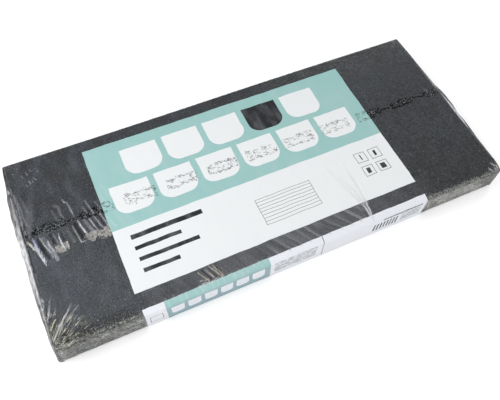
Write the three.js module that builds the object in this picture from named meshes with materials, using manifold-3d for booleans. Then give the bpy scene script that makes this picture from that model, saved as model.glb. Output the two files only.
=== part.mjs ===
// Bundle of three-tab bitumen roof shingles in a sleeve of clear shrink film.
//
// Millimetres, +Z up. The bundle lies flat: X runs along the strips, -Y is the side where the
// top strip shows its tabs. The origin is the centre of the film's underside.
//
// Each strip carries a dashed line of sealant that holds the next strip off it, so the stack is
// thicker along its middle than at its two long edges. The tight film closes the gaps there,
// which is why every strip above the lowest bends down towards its long edges, the top one most.

import * as THREE from 'three';
import { LoftGeometry } from 'three/addons/geometries/LoftGeometry.js';
import { mergeVertices } from 'three/addons/utils/BufferGeometryUtils.js';
import Module from 'manifold-3d';

// ---- driving dimensions ---------------------------------------------------------------------

// One strip
const STRIP_LENGTH = 1000;
const STRIP_WIDTH = 438;
const STRIP_THICKNESS = 2.7;
const STRIP_CORNER_RADIUS = 5;

// Slots that divide one long edge into tabs
const TAB_COUNT = 3;
const SLOT_WIDTH = 9;
const SLOT_DEPTH = 200;

// Dashed sealant line on the strip's face
const SEALANT_FROM_TAB_EDGE = 250;
const DASH_LENGTH = 67;
const DASH_WIDTH = 20;
const DASH_HEIGHT = 0.4;
const DASH_GAP = 26.7;
const DASH_FROM_END = 23.7;
const DASH_BOND_DEPTH = 0.5;

// The stack
const STRIP_COUNT = 21;
const LAYER_CLEARANCE = 0.1;
const EDGE_CLEARANCE = 0.12;
const BEND_WIDTH = 28;
const STRAY_X = 1.5;
const STRAY_Y = 0.8;
const STRAY_PHASE_STEP = 2.4;

// Shrink film
const FILM_THICKNESS = 0.1;
const FILM_CLEARANCE = 0.15;
const FILM_FOLD_RADIUS = 1;
const FILM_END_BULGE = 11;
const FILM_END_ROUNDING = 12;
const END_OPENING_WIDTH = 300;
const END_OPENING_HEIGHT = 34;
const END_OPENING_STAND_OFF = 3;

// Facets
const CORNER_STEPS = 4;
const BEND_STEPS = 4;
const FILM_CORNER_STEPS = 3;
const FILM_END_STEPS = 4;
const FILM_FACE_STEPS = 3;

// ---- sizes that follow ----------------------------------------------------------------------

const DASH_PITCH = DASH_LENGTH + DASH_GAP;
const LAYER_PITCH = STRIP_THICKNESS + DASH_HEIGHT + LAYER_CLEARANCE;
const EDGE_SETTLE = LAYER_PITCH - STRIP_THICKNESS - EDGE_CLEARANCE;

// A square edge inside a rounded fold touches it when it stands this far in from both faces.
const FOLD_CORNER_ROOM = (FILM_FOLD_RADIUS - FILM_THICKNESS) * (1 - Math.SQRT1_2);
const STACK_TO_FILM = FOLD_CORNER_ROOM + FILM_CLEARANCE;
const STACK_BOTTOM = FILM_THICKNESS + STACK_TO_FILM;
const STACK_HEIGHT = STRIP_COUNT * LAYER_PITCH - LAYER_CLEARANCE;
const FILM_HEIGHT = STACK_BOTTOM + STACK_HEIGHT + FILM_CLEARANCE + FILM_THICKNESS;
const FILM_HALF_WIDTH = STRIP_WIDTH / 2 + STRAY_Y + STACK_TO_FILM + FILM_THICKNESS;
const FILM_END = STRIP_LENGTH / 2 + STRAY_X + STACK_TO_FILM;

const shingleMaterial = new THREE.MeshStandardMaterial({
  name: 'granules', color: 0x53555a, roughness: 0.95, metalness: 0,
});
const filmMaterial = new THREE.MeshStandardMaterial({
  name: 'clear_film', color: 0xdfe9ea, roughness: 0.2, metalness: 0,
  transparent: true, opacity: 0.35, side: THREE.DoubleSide,
});

const wasm = await Module();
wasm.setup();

// ---- solids ---------------------------------------------------------------------------------

// A closed three.js geometry as a solid that can be cut and joined.
function toSolid(geometry) {
  const bare = new THREE.BufferGeometry().copy(geometry);
  bare.deleteAttribute('normal');
  bare.deleteAttribute('uv');
  const merged = mergeVertices(bare);
  return new wasm.Manifold(new wasm.Mesh({
    numProp: 3,
    vertProperties: new Float32Array(merged.attributes.position.array),
    triVerts: new Uint32Array(merged.index.array),
  }));
}

function toGeometry(solid) {
  const { vertProperties, triVerts } = solid.getMesh();
  const geometry = new THREE.BufferGeometry();
  geometry.setAttribute('position', new THREE.BufferAttribute(vertProperties, 3));
  geometry.setIndex(new THREE.BufferAttribute(triVerts, 1));
  geometry.computeVertexNormals();
  return geometry;
}

// ---- how the stack settles ------------------------------------------------------------------

// How far the gaps of the stack have closed at y: 0 over the flat middle, rising along a
// parabola to 1 at the long edges.
function settleShare(y) {
  const intoMargin = (Math.abs(y) - (STRIP_WIDTH / 2 - BEND_WIDTH)) / BEND_WIDTH;
  return THREE.MathUtils.clamp(intoMargin, 0, 1) ** 2;
}

// Facet lines across the width: close together where the strips bend, none in the flat middle.
const BEND_LINES = [];
for (let step = 0; step <= BEND_STEPS; step += 1) {
  const line = STRIP_WIDTH / 2 - BEND_WIDTH * step / BEND_STEPS;
  BEND_LINES.unshift(-line);
  BEND_LINES.push(line);
}
BEND_LINES.sort((a, b) => a - b);

// ---- one strip ------------------------------------------------------------------------------

// The strip's outline, tabs towards -Y: a rectangle with small corner arcs and round-ended slots.
function stripOutline() {
  const right = STRIP_LENGTH / 2;
  const back = STRIP_WIDTH / 2;
  const radius = STRIP_CORNER_RADIUS;
  const slotRadius = SLOT_WIDTH / 2;
  const outline = new THREE.Shape();
  outline.moveTo(-right + radius, -back);
  for (let slot = 1; slot < TAB_COUNT; slot += 1) {
    const x = -right + slot * STRIP_LENGTH / TAB_COUNT;
    const slotTop = -back + SLOT_DEPTH - slotRadius;
    outline.lineTo(x - slotRadius, -back);
    outline.lineTo(x - slotRadius, slotTop);
    outline.absarc(x, slotTop, slotRadius, Math.PI, 0, true);
    outline.lineTo(x + slotRadius, -back);
  }
  outline.lineTo(right - radius, -back);
  outline.absarc(right - radius, -back + radius, radius, -Math.PI / 2, 0);
  outline.absarc(right - radius, back - radius, radius, 0, Math.PI / 2);
  outline.absarc(-right + radius, back - radius, radius, Math.PI / 2, Math.PI);
  outline.absarc(-right + radius, -back + radius, radius, Math.PI, 1.5 * Math.PI);
  return outline;
}

function dashOutlines() {
  const dashes = [];
  const y = SEALANT_FROM_TAB_EDGE - STRIP_WIDTH / 2;
  for (let start = DASH_FROM_END - DASH_PITCH; start < STRIP_LENGTH; start += DASH_PITCH) {
    const from = Math.max(start, 0) - STRIP_LENGTH / 2;
    const to = Math.min(start + DASH_LENGTH, STRIP_LENGTH) - STRIP_LENGTH / 2;
    if (to <= from) continue;
    dashes.push(new THREE.Shape([
      new THREE.Vector2(from, y - DASH_WIDTH / 2),
      new THREE.Vector2(to, y - DASH_WIDTH / 2),
      new THREE.Vector2(to, y + DASH_WIDTH / 2),
      new THREE.Vector2(from, y + DASH_WIDTH / 2),
    ]));
  }
  return dashes;
}

// Outlines as upright prisms that reach past the stack's top and bottom, to trim bent sheets.
function trimmingPrisms(outlines, layer) {
  const prisms = new THREE.ExtrudeGeometry(outlines, {
    depth: FILM_HEIGHT + 2 * LAYER_PITCH, bevelEnabled: false, curveSegments: CORNER_STEPS,
  });
  prisms.translate(0, 0, -LAYER_PITCH);
  const tabsToFront = (STRIP_COUNT - 1 - layer) % 2 === 0;
  if (!tabsToFront) prisms.rotateZ(Math.PI);
  const phase = STRAY_PHASE_STEP * layer;
  prisms.translate(STRAY_X * Math.sin(phase), STRAY_Y * Math.cos(phase), 0);
  return toSolid(prisms);
}

// A sheet a little larger than the stack, bent as its layer is, between two heights over the
// underside of that layer's strip.
function bentSheet(layer, low, high) {
  const reach = STRIP_WIDTH / 2 + 2 * STRAY_Y;
  const lines = [-reach, ...BEND_LINES, reach];
  const last = lines.length - 1;
  const sheet = new THREE.BoxGeometry(STRIP_LENGTH + 4 * STRAY_X, last, 1, 1, last, 1);
  const position = sheet.attributes.position;
  for (let i = 0; i < position.count; i += 1) {
    const y = lines[Math.round(position.getY(i) + last / 2)];
    const height = position.getZ(i) < 0 ? low : high;
    const underside = STACK_BOTTOM + layer * (LAYER_PITCH - EDGE_SETTLE * settleShare(y));
    position.setY(i, y);
    position.setZ(i, underside + height);
  }
  return toSolid(sheet);
}

// One strip in its place in the stack, layer 0 being the lowest.
function shingle(layer) {
  const strip = bentSheet(layer, 0, STRIP_THICKNESS).intersect(trimmingPrisms([stripOutline()], layer));
  const sealantSheet = bentSheet(layer, STRIP_THICKNESS - DASH_BOND_DEPTH, STRIP_THICKNESS + DASH_HEIGHT);
  const dashes = sealantSheet.intersect(trimmingPrisms(dashOutlines(), layer));
  const mesh = new THREE.Mesh(toGeometry(strip.add(dashes)), shingleMaterial);
  mesh.name = `shingle_${String(layer + 1).padStart(2, '0')}`;
  return mesh;
}

// ---- the film -------------------------------------------------------------------------------

// A closed ring round the bundle in the plane at x, anticlockwise seen from +X. Its four corner
// arcs are joined by flats that have points on the same lines as the strips' bends.
function filmRing(x, halfWidth, bottom, top, radius) {
  const flatHalf = halfWidth - radius;
  const spread = BEND_LINES.slice(1, -1).map((line) => flatHalf * line / (STRIP_WIDTH / 2));
  const middle = (bottom + top) / 2;
  const ring = [];
  const addArc = (y, z, start) => {
    for (let step = 0; step <= FILM_CORNER_STEPS; step += 1) {
      const angle = start + step / FILM_CORNER_STEPS * Math.PI / 2;
      ring.push([y + radius * Math.cos(angle), z + radius * Math.sin(angle)]);
    }
  };
  addArc(-flatHalf, bottom + radius, -Math.PI);
  spread.forEach((y) => ring.push([y, bottom]));
  addArc(flatHalf, bottom + radius, -Math.PI / 2);
  ring.push([halfWidth, middle]);
  addArc(flatHalf, top - radius, 0);
  [...spread].reverse().forEach((y) => ring.push([y, top]));
  addArc(-flatHalf, top - radius, Math.PI / 2);
  ring.push([-halfWidth, middle]);

  const settleAtTop = (STRIP_COUNT - 1) * EDGE_SETTLE / FILM_HEIGHT;
  return ring.map(([y, z]) => new THREE.Vector3(x, y, z * (1 - settleAtTop * settleShare(y))));
}

// Rings of one skin of the film from the rim of the -X opening to the rim of the +X one. The
// skin lies inset by the film's thickness, or by nothing for the outer face.
function filmSkin(inset) {
  const sleeve = {
    halfWidth: FILM_HALF_WIDTH - inset,
    bottom: inset,
    top: FILM_HEIGHT - inset,
    radius: FILM_FOLD_RADIUS - inset,
  };
  const middle = FILM_HEIGHT / 2;
  const opening = {
    halfWidth: END_OPENING_WIDTH / 2,
    bottom: middle - END_OPENING_HEIGHT / 2,
    top: middle + END_OPENING_HEIGHT / 2,
    radius: END_OPENING_HEIGHT / 2,
  };
  const bulge = FILM_END_BULGE - inset;
  const rounding = FILM_END_ROUNDING - inset;
  const ringAt = (x, { halfWidth, bottom, top, radius }) => filmRing(x, halfWidth, bottom, top, radius);
  const shrunk = (amount) => ({
    halfWidth: sleeve.halfWidth - amount,
    bottom: sleeve.bottom + amount,
    top: sleeve.top - amount,
    radius: sleeve.radius + amount / 2,
  });

  const stations = [];
  for (let step = 0; step <= FILM_END_STEPS; step += 1) {
    const angle = step / FILM_END_STEPS * Math.PI / 2;
    stations.push([FILM_END + bulge * Math.sin(angle), shrunk(rounding * (1 - Math.cos(angle)))]);
  }
  const shoulder = shrunk(rounding);
  for (let step = 1; step <= FILM_FACE_STEPS; step += 1) {
    const share = step / FILM_FACE_STEPS;
    const section = {};
    for (const key of Object.keys(opening)) {
      section[key] = THREE.MathUtils.lerp(shoulder[key], opening[key], share);
    }
    const standOff = THREE.MathUtils.lerp(bulge, END_OPENING_STAND_OFF - inset, share ** 2);
    stations.push([FILM_END + standOff, section]);
  }
  const left = [...stations].reverse().map(([x, section]) => ringAt(-x, section));
  const right = stations.map(([x, section]) => ringAt(x, section));
  return [...left, ...right];
}

// The sleeve: its outer skin from end to end, and back along the inner skin to where it began.
function wrapFilm() {
  const outer = filmSkin(0);
  const inner = filmSkin(FILM_THICKNESS).reverse();
  const loft = new LoftGeometry([...outer, ...inner, outer[0]]);
  const mesh = new THREE.Mesh(toGeometry(toSolid(loft)), filmMaterial);
  mesh.name = 'wrap_film';
  return mesh;
}

// ---- the bundle -----------------------------------------------------------------------------

const bundle = new THREE.Group();
for (let layer = 0; layer < STRIP_COUNT; layer += 1) bundle.add(shingle(layer));
bundle.add(wrapFilm());

export default bundle;
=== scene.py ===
"""Finish of the shingle bundle: granule-faced bitumen strips in a printed sleeve of shrink film.

Z is up, X runs along the strips, and the long side at -Y is the one with the printed band, as in
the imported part. Lengths are in millimetres until they reach Blender; only the stage is in metres.
"""

import math
from functools import partialmethod, reduce
from operator import or_

import bpy
import numpy as np
from mathutils import Matrix, Vector


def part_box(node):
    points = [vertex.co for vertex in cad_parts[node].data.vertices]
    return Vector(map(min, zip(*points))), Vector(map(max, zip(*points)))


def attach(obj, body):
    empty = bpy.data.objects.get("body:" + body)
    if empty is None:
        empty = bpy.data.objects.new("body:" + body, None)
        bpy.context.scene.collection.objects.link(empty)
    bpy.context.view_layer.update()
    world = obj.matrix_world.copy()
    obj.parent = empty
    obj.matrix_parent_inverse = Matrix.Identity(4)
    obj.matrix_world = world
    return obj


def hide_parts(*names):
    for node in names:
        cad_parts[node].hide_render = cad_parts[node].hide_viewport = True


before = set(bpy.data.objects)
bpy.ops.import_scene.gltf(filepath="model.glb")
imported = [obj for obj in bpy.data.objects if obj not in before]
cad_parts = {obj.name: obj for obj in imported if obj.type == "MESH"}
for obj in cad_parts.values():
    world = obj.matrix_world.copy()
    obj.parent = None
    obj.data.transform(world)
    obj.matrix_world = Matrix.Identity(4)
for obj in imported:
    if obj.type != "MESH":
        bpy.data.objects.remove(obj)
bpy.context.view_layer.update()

MM = 0.001
ROUNDING = 1e-6

# ---- sizes from the frame -------------------------------------------------------------------

STRIPS = sorted(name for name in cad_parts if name.startswith("shingle_"))


def node_box(node):
    """The low and high corners of a CAD node's box."""
    return [np.array(corner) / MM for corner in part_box(node)]


STACK_TOP = node_box(STRIPS[-1])[1][2]
FILM_LOW, FILM_HIGH = node_box("wrap_film")

# ---- one strip, as the part is built --------------------------------------------------------

STRIP_LENGTH, STRIP_WIDTH, STRIP_THICKNESS = 1000, 438, 2.7
HALF_LENGTH, HALF_WIDTH = STRIP_LENGTH / 2, STRIP_WIDTH / 2
STRIP_CORNER_RADIUS = 5
BEND_WIDTH = 28
TAB_COUNT = 3
SLOT_WIDTH, SLOT_DEPTH = 9, 200
SEALANT_Y = 250 - HALF_WIDTH
DASH_LENGTH, DASH_WIDTH, DASH_HEIGHT = 67, 20, 0.4
DASH_PITCH = 93.7
DASH_FROM_END = 23.7
# How much less the far edge bends towards +X, and the stretch along it over which that sets in
FAR_EDGE_HELD = 0.85
FAR_EDGE_HELD_OVER = (-330, 250)

# How finely a strip is meshed, and how ragged its granule-covered edge is
EDGE_STEP = 3
EDGE_ROWS = (0, 1.5, 5, 10, 18, BEND_WIDTH)
ROW_STEP = 70
RAGGED = 0.8

# The dashes of the top strip, which show: lumpy, with ragged ends, on a thin bead
DASH_STEP = 1.3
DASH_RAGGED = 3
DASH_WANDER = ((9, 1), (3.5, 0.5), (2, 0.6))      # size and share of each wave of the outline
DASH_RISES_OVER = 2.5
DASH_HOLES = -0.25
DASH_EDGE_RAGGED, BEAD_RAGGED = 0.5, 0.2
DASH_SUNK = 0.05
BEAD_WIDTH, END_BEAD_WIDTH, BEAD_HEIGHT = 4, 8, 0.3
BEAD_STEP, BEAD_WANDER, BEAD_OVERLAP = 2, 1.6, 4

# ---- film -----------------------------------------------------------------------------------

FILM_OVER_STRIP = 0.35
FILM_FOLD_RADIUS = 1.5
FILM_END = HALF_LENGTH + 1.5
END_ROUNDING, END_CORNER_ROUNDING = 12, 1.2
END_TIGHT_MARGIN = 60
END_NARROWS = 3
BODY_END = FILM_END - 30
OPENING_HALF_WIDTH, OPENING_HALF_HEIGHT = 150, 17
OPENING_STAND_OFF = 4
# Rings of the film's end: along the stack, round the turn, and from there in to the opening
SIDE_RINGS, TURN_RINGS, OPENING_RINGS = 14, 6, 8
# How far the film stands out past FILM_END along each short end: (place across, how far)
LEFT_LIP = (
    (-218, 1.5), (-203, 3), (-167, 5.5), (-124, 8.5), (-34, 9.5), (14, 10.5), (64, 12), (115, 11), (150, 7.5),
    (175, 4), (195, 2.5), (218, 1))
RIGHT_LIP = (
    (-218, 1.5), (-170, 1.5), (-145, 3.5), (-125, 4), (-105, 6.5), (-87, 9.5), (-68, 8.5), (-47, 7),
    (-31, 10), (-16, 13), (10, 14), (28, 12.5), (42, 8.5), (56, 6), (75, 6), (100, 5), (150, 3), (190, 1.5),
    (218, 0))
LIP_WANDER, LIP_WAVE = 1.2, 22
# How much further the film stands out low down at the near left corner, from where to where
LOW_CORNER_OUT, LOW_CORNER_Y = 6, (-160, -205)
END_PLEATS, END_PLEAT_DEPTH = 90, 3
# How much of a strip's corner the film follows at each end
CORNER_FOLLOWED = {-1: 1.0, 1: 0.3}
# Mesh steps round the sleeve: underneath, at the folded edges and up the far wall
UNDER_STEP, EDGE_FOLD_STEP, FAR_WALL_STEP = 20, 0.8, 8
# and, left and right, up the near wall, from the near edge over the top, and from further places on
LEFT_STEPS = (2.2, 1.5, (-112, 3), (-62, 1.4), (100, 3.2), (144, 1.8), (184, 3.2))
RIGHT_STEPS = (2.6, 2, (-148, 6.5))
# Mesh steps along it: in the left margin, with its many small folds, and from each place past it on
LEFT_MARGIN_END, LEFT_MARGIN_STEP = -325, 1.6
BODY_STEPS = (
    (LEFT_MARGIN_END + 3, 3), (-286, 4), (-226, 1.6), (-160, 4), (-66, 2.2), (190, 4.5), (BODY_END, None))


# ---- helpers --------------------------------------------------------------------------------

def smooth(share):
    """A share eased in and out."""
    return share * share * (3 - 2 * share)


def smooth_step(low, high, value):
    return smooth(np.clip((value - low) / (high - low), 0, 1))


def smooth_window(rise, fall, value):
    """Rises from 0 to 1 over one stretch and falls again over another."""
    return smooth_step(*rise, value) * smooth_step(*fall, value)


def value_noise(x, y, cell, seed):
    """Smooth random heights from -1 to 1 over a plane, with bumps about one cell apart."""
    size = 64
    table = np.random.default_rng(seed).uniform(-1, 1, (size, size))
    cells = [place / step for place, step in zip(np.broadcast_arrays(x, y), np.broadcast_to(cell, 2))]
    low_x, low_y = (np.floor(place).astype(int) for place in cells)
    part_x, part_y = smooth(cells[0] - low_x), smooth(cells[1] - low_y)
    near, far = (
        table[low_x % size, row % size] * (1 - part_x) + table[(low_x + 1) % size, row % size] * part_x
        for row in (low_y, low_y + 1))
    return near * (1 - part_y) + far * part_y


def along_table(place, table):
    """The value at a place, from a table of (place, value) pairs."""
    return np.interp(place, *zip(*table))


def stepped(stops):
    """Places from (stop, step to the next) pairs, each stop among them; the last step is unused."""
    found = [stops[0][0]]
    for (start, step), (end, _) in zip(stops, stops[1:]):
        count = max(1, math.ceil((end - start) / step - ROUNDING))
        found += [start + (end - start) * n / count for n in range(1, count + 1)]
    return np.array(found)


def places(stops, step):
    """Places with the same step, or a little less, between all stops."""
    return stepped([(stop, step) for stop in stops])


def link_object(name, data):
    made = bpy.data.objects.new(name, data)
    bpy.context.scene.collection.objects.link(made)
    return made


def mesh_object(name, vertices, faces, materials, face_material=None, smooth_faces=False):
    mesh = bpy.data.meshes.new(name)
    mesh.from_pydata((np.asarray(vertices) * MM).tolist(), [], faces)
    for material in materials:
        mesh.materials.append(material)
    if face_material is not None:
        mesh.polygons.foreach_set("material_index", face_material.astype(np.int32))
    mesh.polygons.foreach_set("use_smooth", np.full(len(mesh.polygons), smooth_faces))
    mesh.update()
    return link_object(name, mesh)


def settle_share(x, y):
    """How far the stack's gaps have closed: 0 over the flat middle, 1 at the long edges, though
    the far edge stands almost level again towards +X."""
    into_margin = (np.abs(y) - (HALF_WIDTH - BEND_WIDTH)) / BEND_WIDTH
    held = np.where(y > 0, FAR_EDGE_HELD * smooth_step(*FAR_EDGE_HELD_OVER, x), 0)
    return np.clip(into_margin, 0, 1) ** 2 * (1 - held)


def strip_levels(node):
    """The middle of a strip, the height of its face, and how far its long edges bend down."""
    low, high = node_box(node)
    top = high[2] - DASH_HEIGHT
    return (low + high) / 2, top, top - STRIP_THICKNESS - low[2]


# ---- materials ------------------------------------------------------------------------------

INK_EDGE = 0.35


class Value:
    """One output of a node. Arithmetic on it adds Math nodes, with | for the greater of two."""

    def __init__(self, graph, socket):
        self.graph, self.socket = graph, socket

    def other(self, output):
        """Another output of the same node."""
        return Value(self.graph, self.socket.node.outputs[output])

    def apply(self, operation, *others, clamp=False):
        inputs = dict(enumerate((self, *others)))
        return self.graph.add("ShaderNodeMath", inputs, operation=operation, use_clamp=clamp)

    __add__ = partialmethod(apply, "ADD")
    __sub__ = partialmethod(apply, "SUBTRACT")
    __mul__ = partialmethod(apply, "MULTIPLY")
    __truediv__ = partialmethod(apply, "DIVIDE")
    __pow__ = partialmethod(apply, "POWER")
    __or__ = partialmethod(apply, "MAXIMUM")
    __abs__ = partialmethod(apply, "ABSOLUTE")

    def __rsub__(self, other):
        return self.graph.add("ShaderNodeMath", {0: other, 1: self}, operation="SUBTRACT")

    def hypot(self, other):
        return (self * self + other * other).apply("SQRT")

    def ramp(self, low, high, to_low=0, to_high=1, kind="SMOOTHSTEP"):
        """Goes from one value to another while this one goes from low to high."""
        return self.graph.add("ShaderNodeMapRange", {
            "Value": self, "From Min": low, "From Max": high, "To Min": to_low, "To Max": to_high,
        }, interpolation_type=kind)

    def fade(self, low, high):
        return self.ramp(low, high, 1, 0)

    def window(self, low, high, upper_low, upper_high):
        """Rises from 0 to 1 over one stretch and falls again over another."""
        return self.ramp(low, high) * self.fade(upper_low, upper_high)

    def above(self, place):
        return self.ramp(place - INK_EDGE, place + INK_EDGE)

    def below(self, place):
        return self.fade(place - INK_EDGE, place + INK_EDGE)

    def between(self, low, high):
        return self.above(low) * self.below(high)

    def repeat(self, pitch):
        """The place inside the nearest of evenly spaced cells."""
        cells = self / pitch
        return (cells - cells.apply("FLOOR")) * pitch


class Graph:
    """The node tree of a material or world, with short ways to add the nodes that they share."""

    def __init__(self, owner, output="ShaderNodeOutputMaterial"):
        owner.use_nodes = True
        self.owner, self.tree = owner, owner.node_tree
        self.tree.nodes.clear()
        self.surface = self.tree.nodes.new(output).inputs["Surface"]

    def add(self, kind, inputs, output=0, **settings):
        """Adds a node and gives one of its outputs."""
        node = self.tree.nodes.new(kind)
        for key, value in settings.items():
            setattr(node, key, value)
        for key, value in inputs.items():
            self.put(node.inputs[key], value)
        return Value(self, node.outputs[output])

    def put(self, socket, value):
        if isinstance(value, Value):
            self.tree.links.new(value.socket, socket)
        elif socket.type == "RGBA":
            socket.default_value = (*value, 1)
        else:
            socket.default_value = value

    def vector(self, operation, *values, output=0):
        return self.add("ShaderNodeVectorMath", dict(enumerate(values)), output, operation=operation)

    def stretched(self, vector, *scale):
        return self.vector("MULTIPLY", vector, scale)

    def place(self):
        """The place in the frame, in millimetres."""
        return self.stretched(self.add("ShaderNodeTexCoord", {}, "Object"), *[1 / MM] * 3)

    def split(self, vector):
        first = self.add("ShaderNodeSeparateXYZ", {0: vector})
        return first, first.other(1), first.other(2)

    def mix(self, share, low, high):
        return self.add("ShaderNodeMix", {"Factor": share, 6: low, 7: high}, 2, data_type="RGBA")

    def coats(self, colour, *coats):
        """A colour with (share, colour) coats laid over it in turn."""
        for share, coat in coats:
            colour = self.mix(share, colour, coat)
        return colour

    def noise(self, vector, size, detail=2, roughness=0.5):
        return self.add("ShaderNodeTexNoise", {
            "Vector": vector, "Scale": 1 / size, "Detail": detail, "Roughness": roughness}, "Fac")

    def grains(self, place, size):
        """Cells of a random colour each; the node's Distance is that from a cell's middle."""
        return self.add("ShaderNodeTexVoronoi", {"Vector": place, "Scale": 1 / size}, "Color")

    def bump(self, height, distance, strength=1):
        return self.add("ShaderNodeBump", {
            "Height": height, "Distance": distance * MM, "Strength": strength})

    def diffuse(self, colour):
        return self.add("ShaderNodeBsdfDiffuse", {"Color": colour})

    def principled(self, colour, roughness, specular, **normal):
        return self.add("ShaderNodeBsdfPrincipled", {
            "Base Color": colour, "Roughness": roughness, "Specular IOR Level": specular, **normal})

    def finish(self, shader):
        self.put(self.surface, shader)
        return self.owner


GRANULE_SIZE = 1.4
CHARCOAL = (0.0365, 0.0375, 0.0415)
CHARCOAL_PALE = (0.094, 0.097, 0.105)
GRANULE_GLINT = (0.24, 0.25, 0.27)
OLIVE = (0.030, 0.029, 0.021)
OLIVE_CLOUD = (0.062, 0.062, 0.053)
RIM_DUST = (0.190, 0.182, 0.160)
GRIT = (0.52, 0.518, 0.48)
GRIT_DARK = (0.07, 0.069, 0.060)
GRIT_PALE = (0.88, 0.865, 0.80)
SHOULDER = (0.08, 0.08, 0.074)
# Noise over the granules: size, detail and roughness
CLUMPS, FLECKS, MOTTLES, RIM_SPOTS = (4.2, 3, 0.8), (4.5, 3, 0.8), (7, 4, 0.75), (7, 4, 0.8)
SWELLS, CLOUDS = (40, 4), (55,)
BLOTCHES, PALE_SPOTS, DARK_SPOTS = (11, 4, 0.75), (6, 3, 0.8), (18, 3, 0.7)
SHOULDER_WAVES, CRUMBS = (6, 4, 0.75), (3.4, 3, 0.8)
# Stretches over which a look sets in, along X and across
RIGHT_HALF, RIGHT_PART, LEFT_MARGIN = (0, 350), (100, 350), (-300, -380)
FAR_SIDE, FAR_RIM, NEAR_SIDE = (20, 180), (120, 215), (-60, -200)
# ... round the near left corner, down from the top, and in from the near edge
CORNER_DUST = (25, 110)
SEAM_DEPTHS, TOP_DEPTHS = (12, 9, 6, 3), (15, 9)
CRUMB_STRETCH, GROOVE_STRETCH, SHOULDER_STRETCH = (2, 4, 6, 9), (0.5, 1.5, 3.5, 5), (2, 7)


def granule_material():
    """Stone granules pressed into bitumen: charcoal on the face, dusty grit along the cut edges."""
    g = Graph(bpy.data.materials.new("granules"))
    place = g.place()
    x, y, z = g.split(place)
    grain = g.grains(place, GRANULE_SIZE)
    shade = g.split(grain)[0]
    clump = g.noise(place, *CLUMPS)
    speckled = shade * 0.3 + clump
    uneven = g.noise(place, *MOTTLES)
    face = g.coats(
        g.mix((shade * 0.5 + clump).ramp(0.48, 1), CHARCOAL, CHARCOAL_PALE),
        (g.noise(place, *SWELLS).ramp(0.35, 0.7, 0, 0.2), CHARCOAL_PALE),
        # Mottled towards the right, and there paler at the far side than at the near one
        (uneven.ramp(0.50, 0.64) * x.ramp(*RIGHT_PART, 0, 0.85), CHARCOAL_PALE),
        (uneven.ramp(0.49, 0.36) * x.ramp(*RIGHT_PART, 0, 0.6), OLIVE),
        (g.noise(place, *FLECKS).ramp(0.50, 0.62) * x.ramp(*RIGHT_HALF, 0, 0.6), CHARCOAL_PALE),
        (x.ramp(*RIGHT_HALF) * y.ramp(*FAR_SIDE, 0, 0.6), CHARCOAL_PALE),
        (x.ramp(*RIGHT_PART) * y.ramp(*NEAR_SIDE, 0, 0.25), OLIVE),
        # Dust along the far edge, dark clouds, and painted glints that make a few granules bright
        (g.noise(place, *RIM_SPOTS).ramp(0.52, 0.60) * x.ramp(0, 300) * y.ramp(*FAR_RIM, 0, 0.75), RIM_DUST),
        (g.noise(place, *CLOUDS).ramp(0.55, 0.7, 0, 0.4), OLIVE_CLOUD),
        (shade.ramp(0.985, 0.991) * x.ramp(*RIGHT_HALF, 0.7, 0.9), GRANULE_GLINT))

    # Towards the near left corner the face is dusted olive, with pale specks
    corner = (-HALF_LENGTH, -HALF_WIDTH, STACK_TOP)
    dusty = g.vector("DISTANCE", place, corner, output="Value").fade(*CORNER_DUST)
    dusty |= y.ramp(20 - HALF_WIDTH, -HALF_WIDTH, 0, 0.45) * x.ramp(*LEFT_MARGIN)
    face = g.coats(
        face,
        (dusty * clump.ramp(0.35, 0.6, 0.3, 0.9), OLIVE),
        (dusty * speckled.ramp(0.84, 0.92, 0, 0.8), GRIT_PALE))

    # The cut edges: dusty grit in dark and pale blotches, with painted shade under the top strip
    upright = g.stretched(place, 1, 1, 0.6)
    coarse = shade * 0.15 + g.noise(upright, *BLOTCHES)
    level = z + coarse.ramp(0.3, 0.8, -2, 2, "LINEAR")
    seam_shade = level.window(*(STACK_TOP - depth for depth in SEAM_DEPTHS))
    grit = g.coats(
        g.mix(coarse.ramp(0.49, 0.67), GRIT_DARK, GRIT),
        (g.noise(upright, *PALE_SPOTS).ramp(0.51, 0.61, 0, 0.7), GRIT_PALE),
        (x.ramp(-200, 350, 0, 0.38), GRIT_PALE),
        (g.noise(upright, *DARK_SPOTS).ramp(0.50, 0.62) * y.ramp(0, -200, 0.25, 0.7), GRIT_DARK),
        # Painted shade over the top of the face and along a line below it; darker towards the bottom too
        (z.ramp(*(STACK_TOP - depth for depth in TOP_DEPTHS), 0, 0.3), GRIT_DARK),
        (z.ramp(16, 6, 0, 0.5), GRIT_DARK),
        (seam_shade * x.ramp(0, 300, 0.2, 0.6), GRIT_DARK),
        # Shaded by the bulge of the film at the right end, pale at the left one
        ((z * 0.56 + x).ramp(474, 488, 0, 0.85), GRIT_DARK),
        (x.ramp(-480, -492, 0, 0.3), GRIT_PALE))

    # The shoulder, where the face rolls down to the near edge: ragged, with crumbs on it
    from_edge = y + HALF_WIDTH
    ragged = g.noise(place, *SHOULDER_WAVES)
    inset = from_edge + ragged.ramp(0.25, 0.75, -5, 5, "LINEAR")
    crumbs = inset.window(*CRUMB_STRETCH) * g.noise(place, *CRUMBS).ramp(0.57, 0.63)
    # Painted shade: a dark line just in from the near edge
    groove_shade = (ragged * 2 + from_edge).window(*GROOVE_STRETCH)
    top = g.coats(
        face,
        (inset.fade(*SHOULDER_STRETCH), g.mix(speckled.ramp(0.50, 0.80), SHOULDER, GRIT)),
        (crumbs * x.ramp(-300, 100, 0.9, 0.3), GRIT_PALE),
        (groove_shade * x.ramp(-100, 200, 0.5, 0.1), OLIVE))

    normal_z = g.split(g.add("ShaderNodeNewGeometry", {}, "True Normal"))[2]
    colour = g.mix(abs(normal_z).ramp(0.35, 0.75), grit, top)
    normal = g.bump(grain.other("Distance").fade(0, 0.8), 0.5, 0.8)
    return g.finish(g.principled(colour, shade.ramp(0, 1, 0.75, 0.95), 0.15, Normal=normal))


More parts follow.
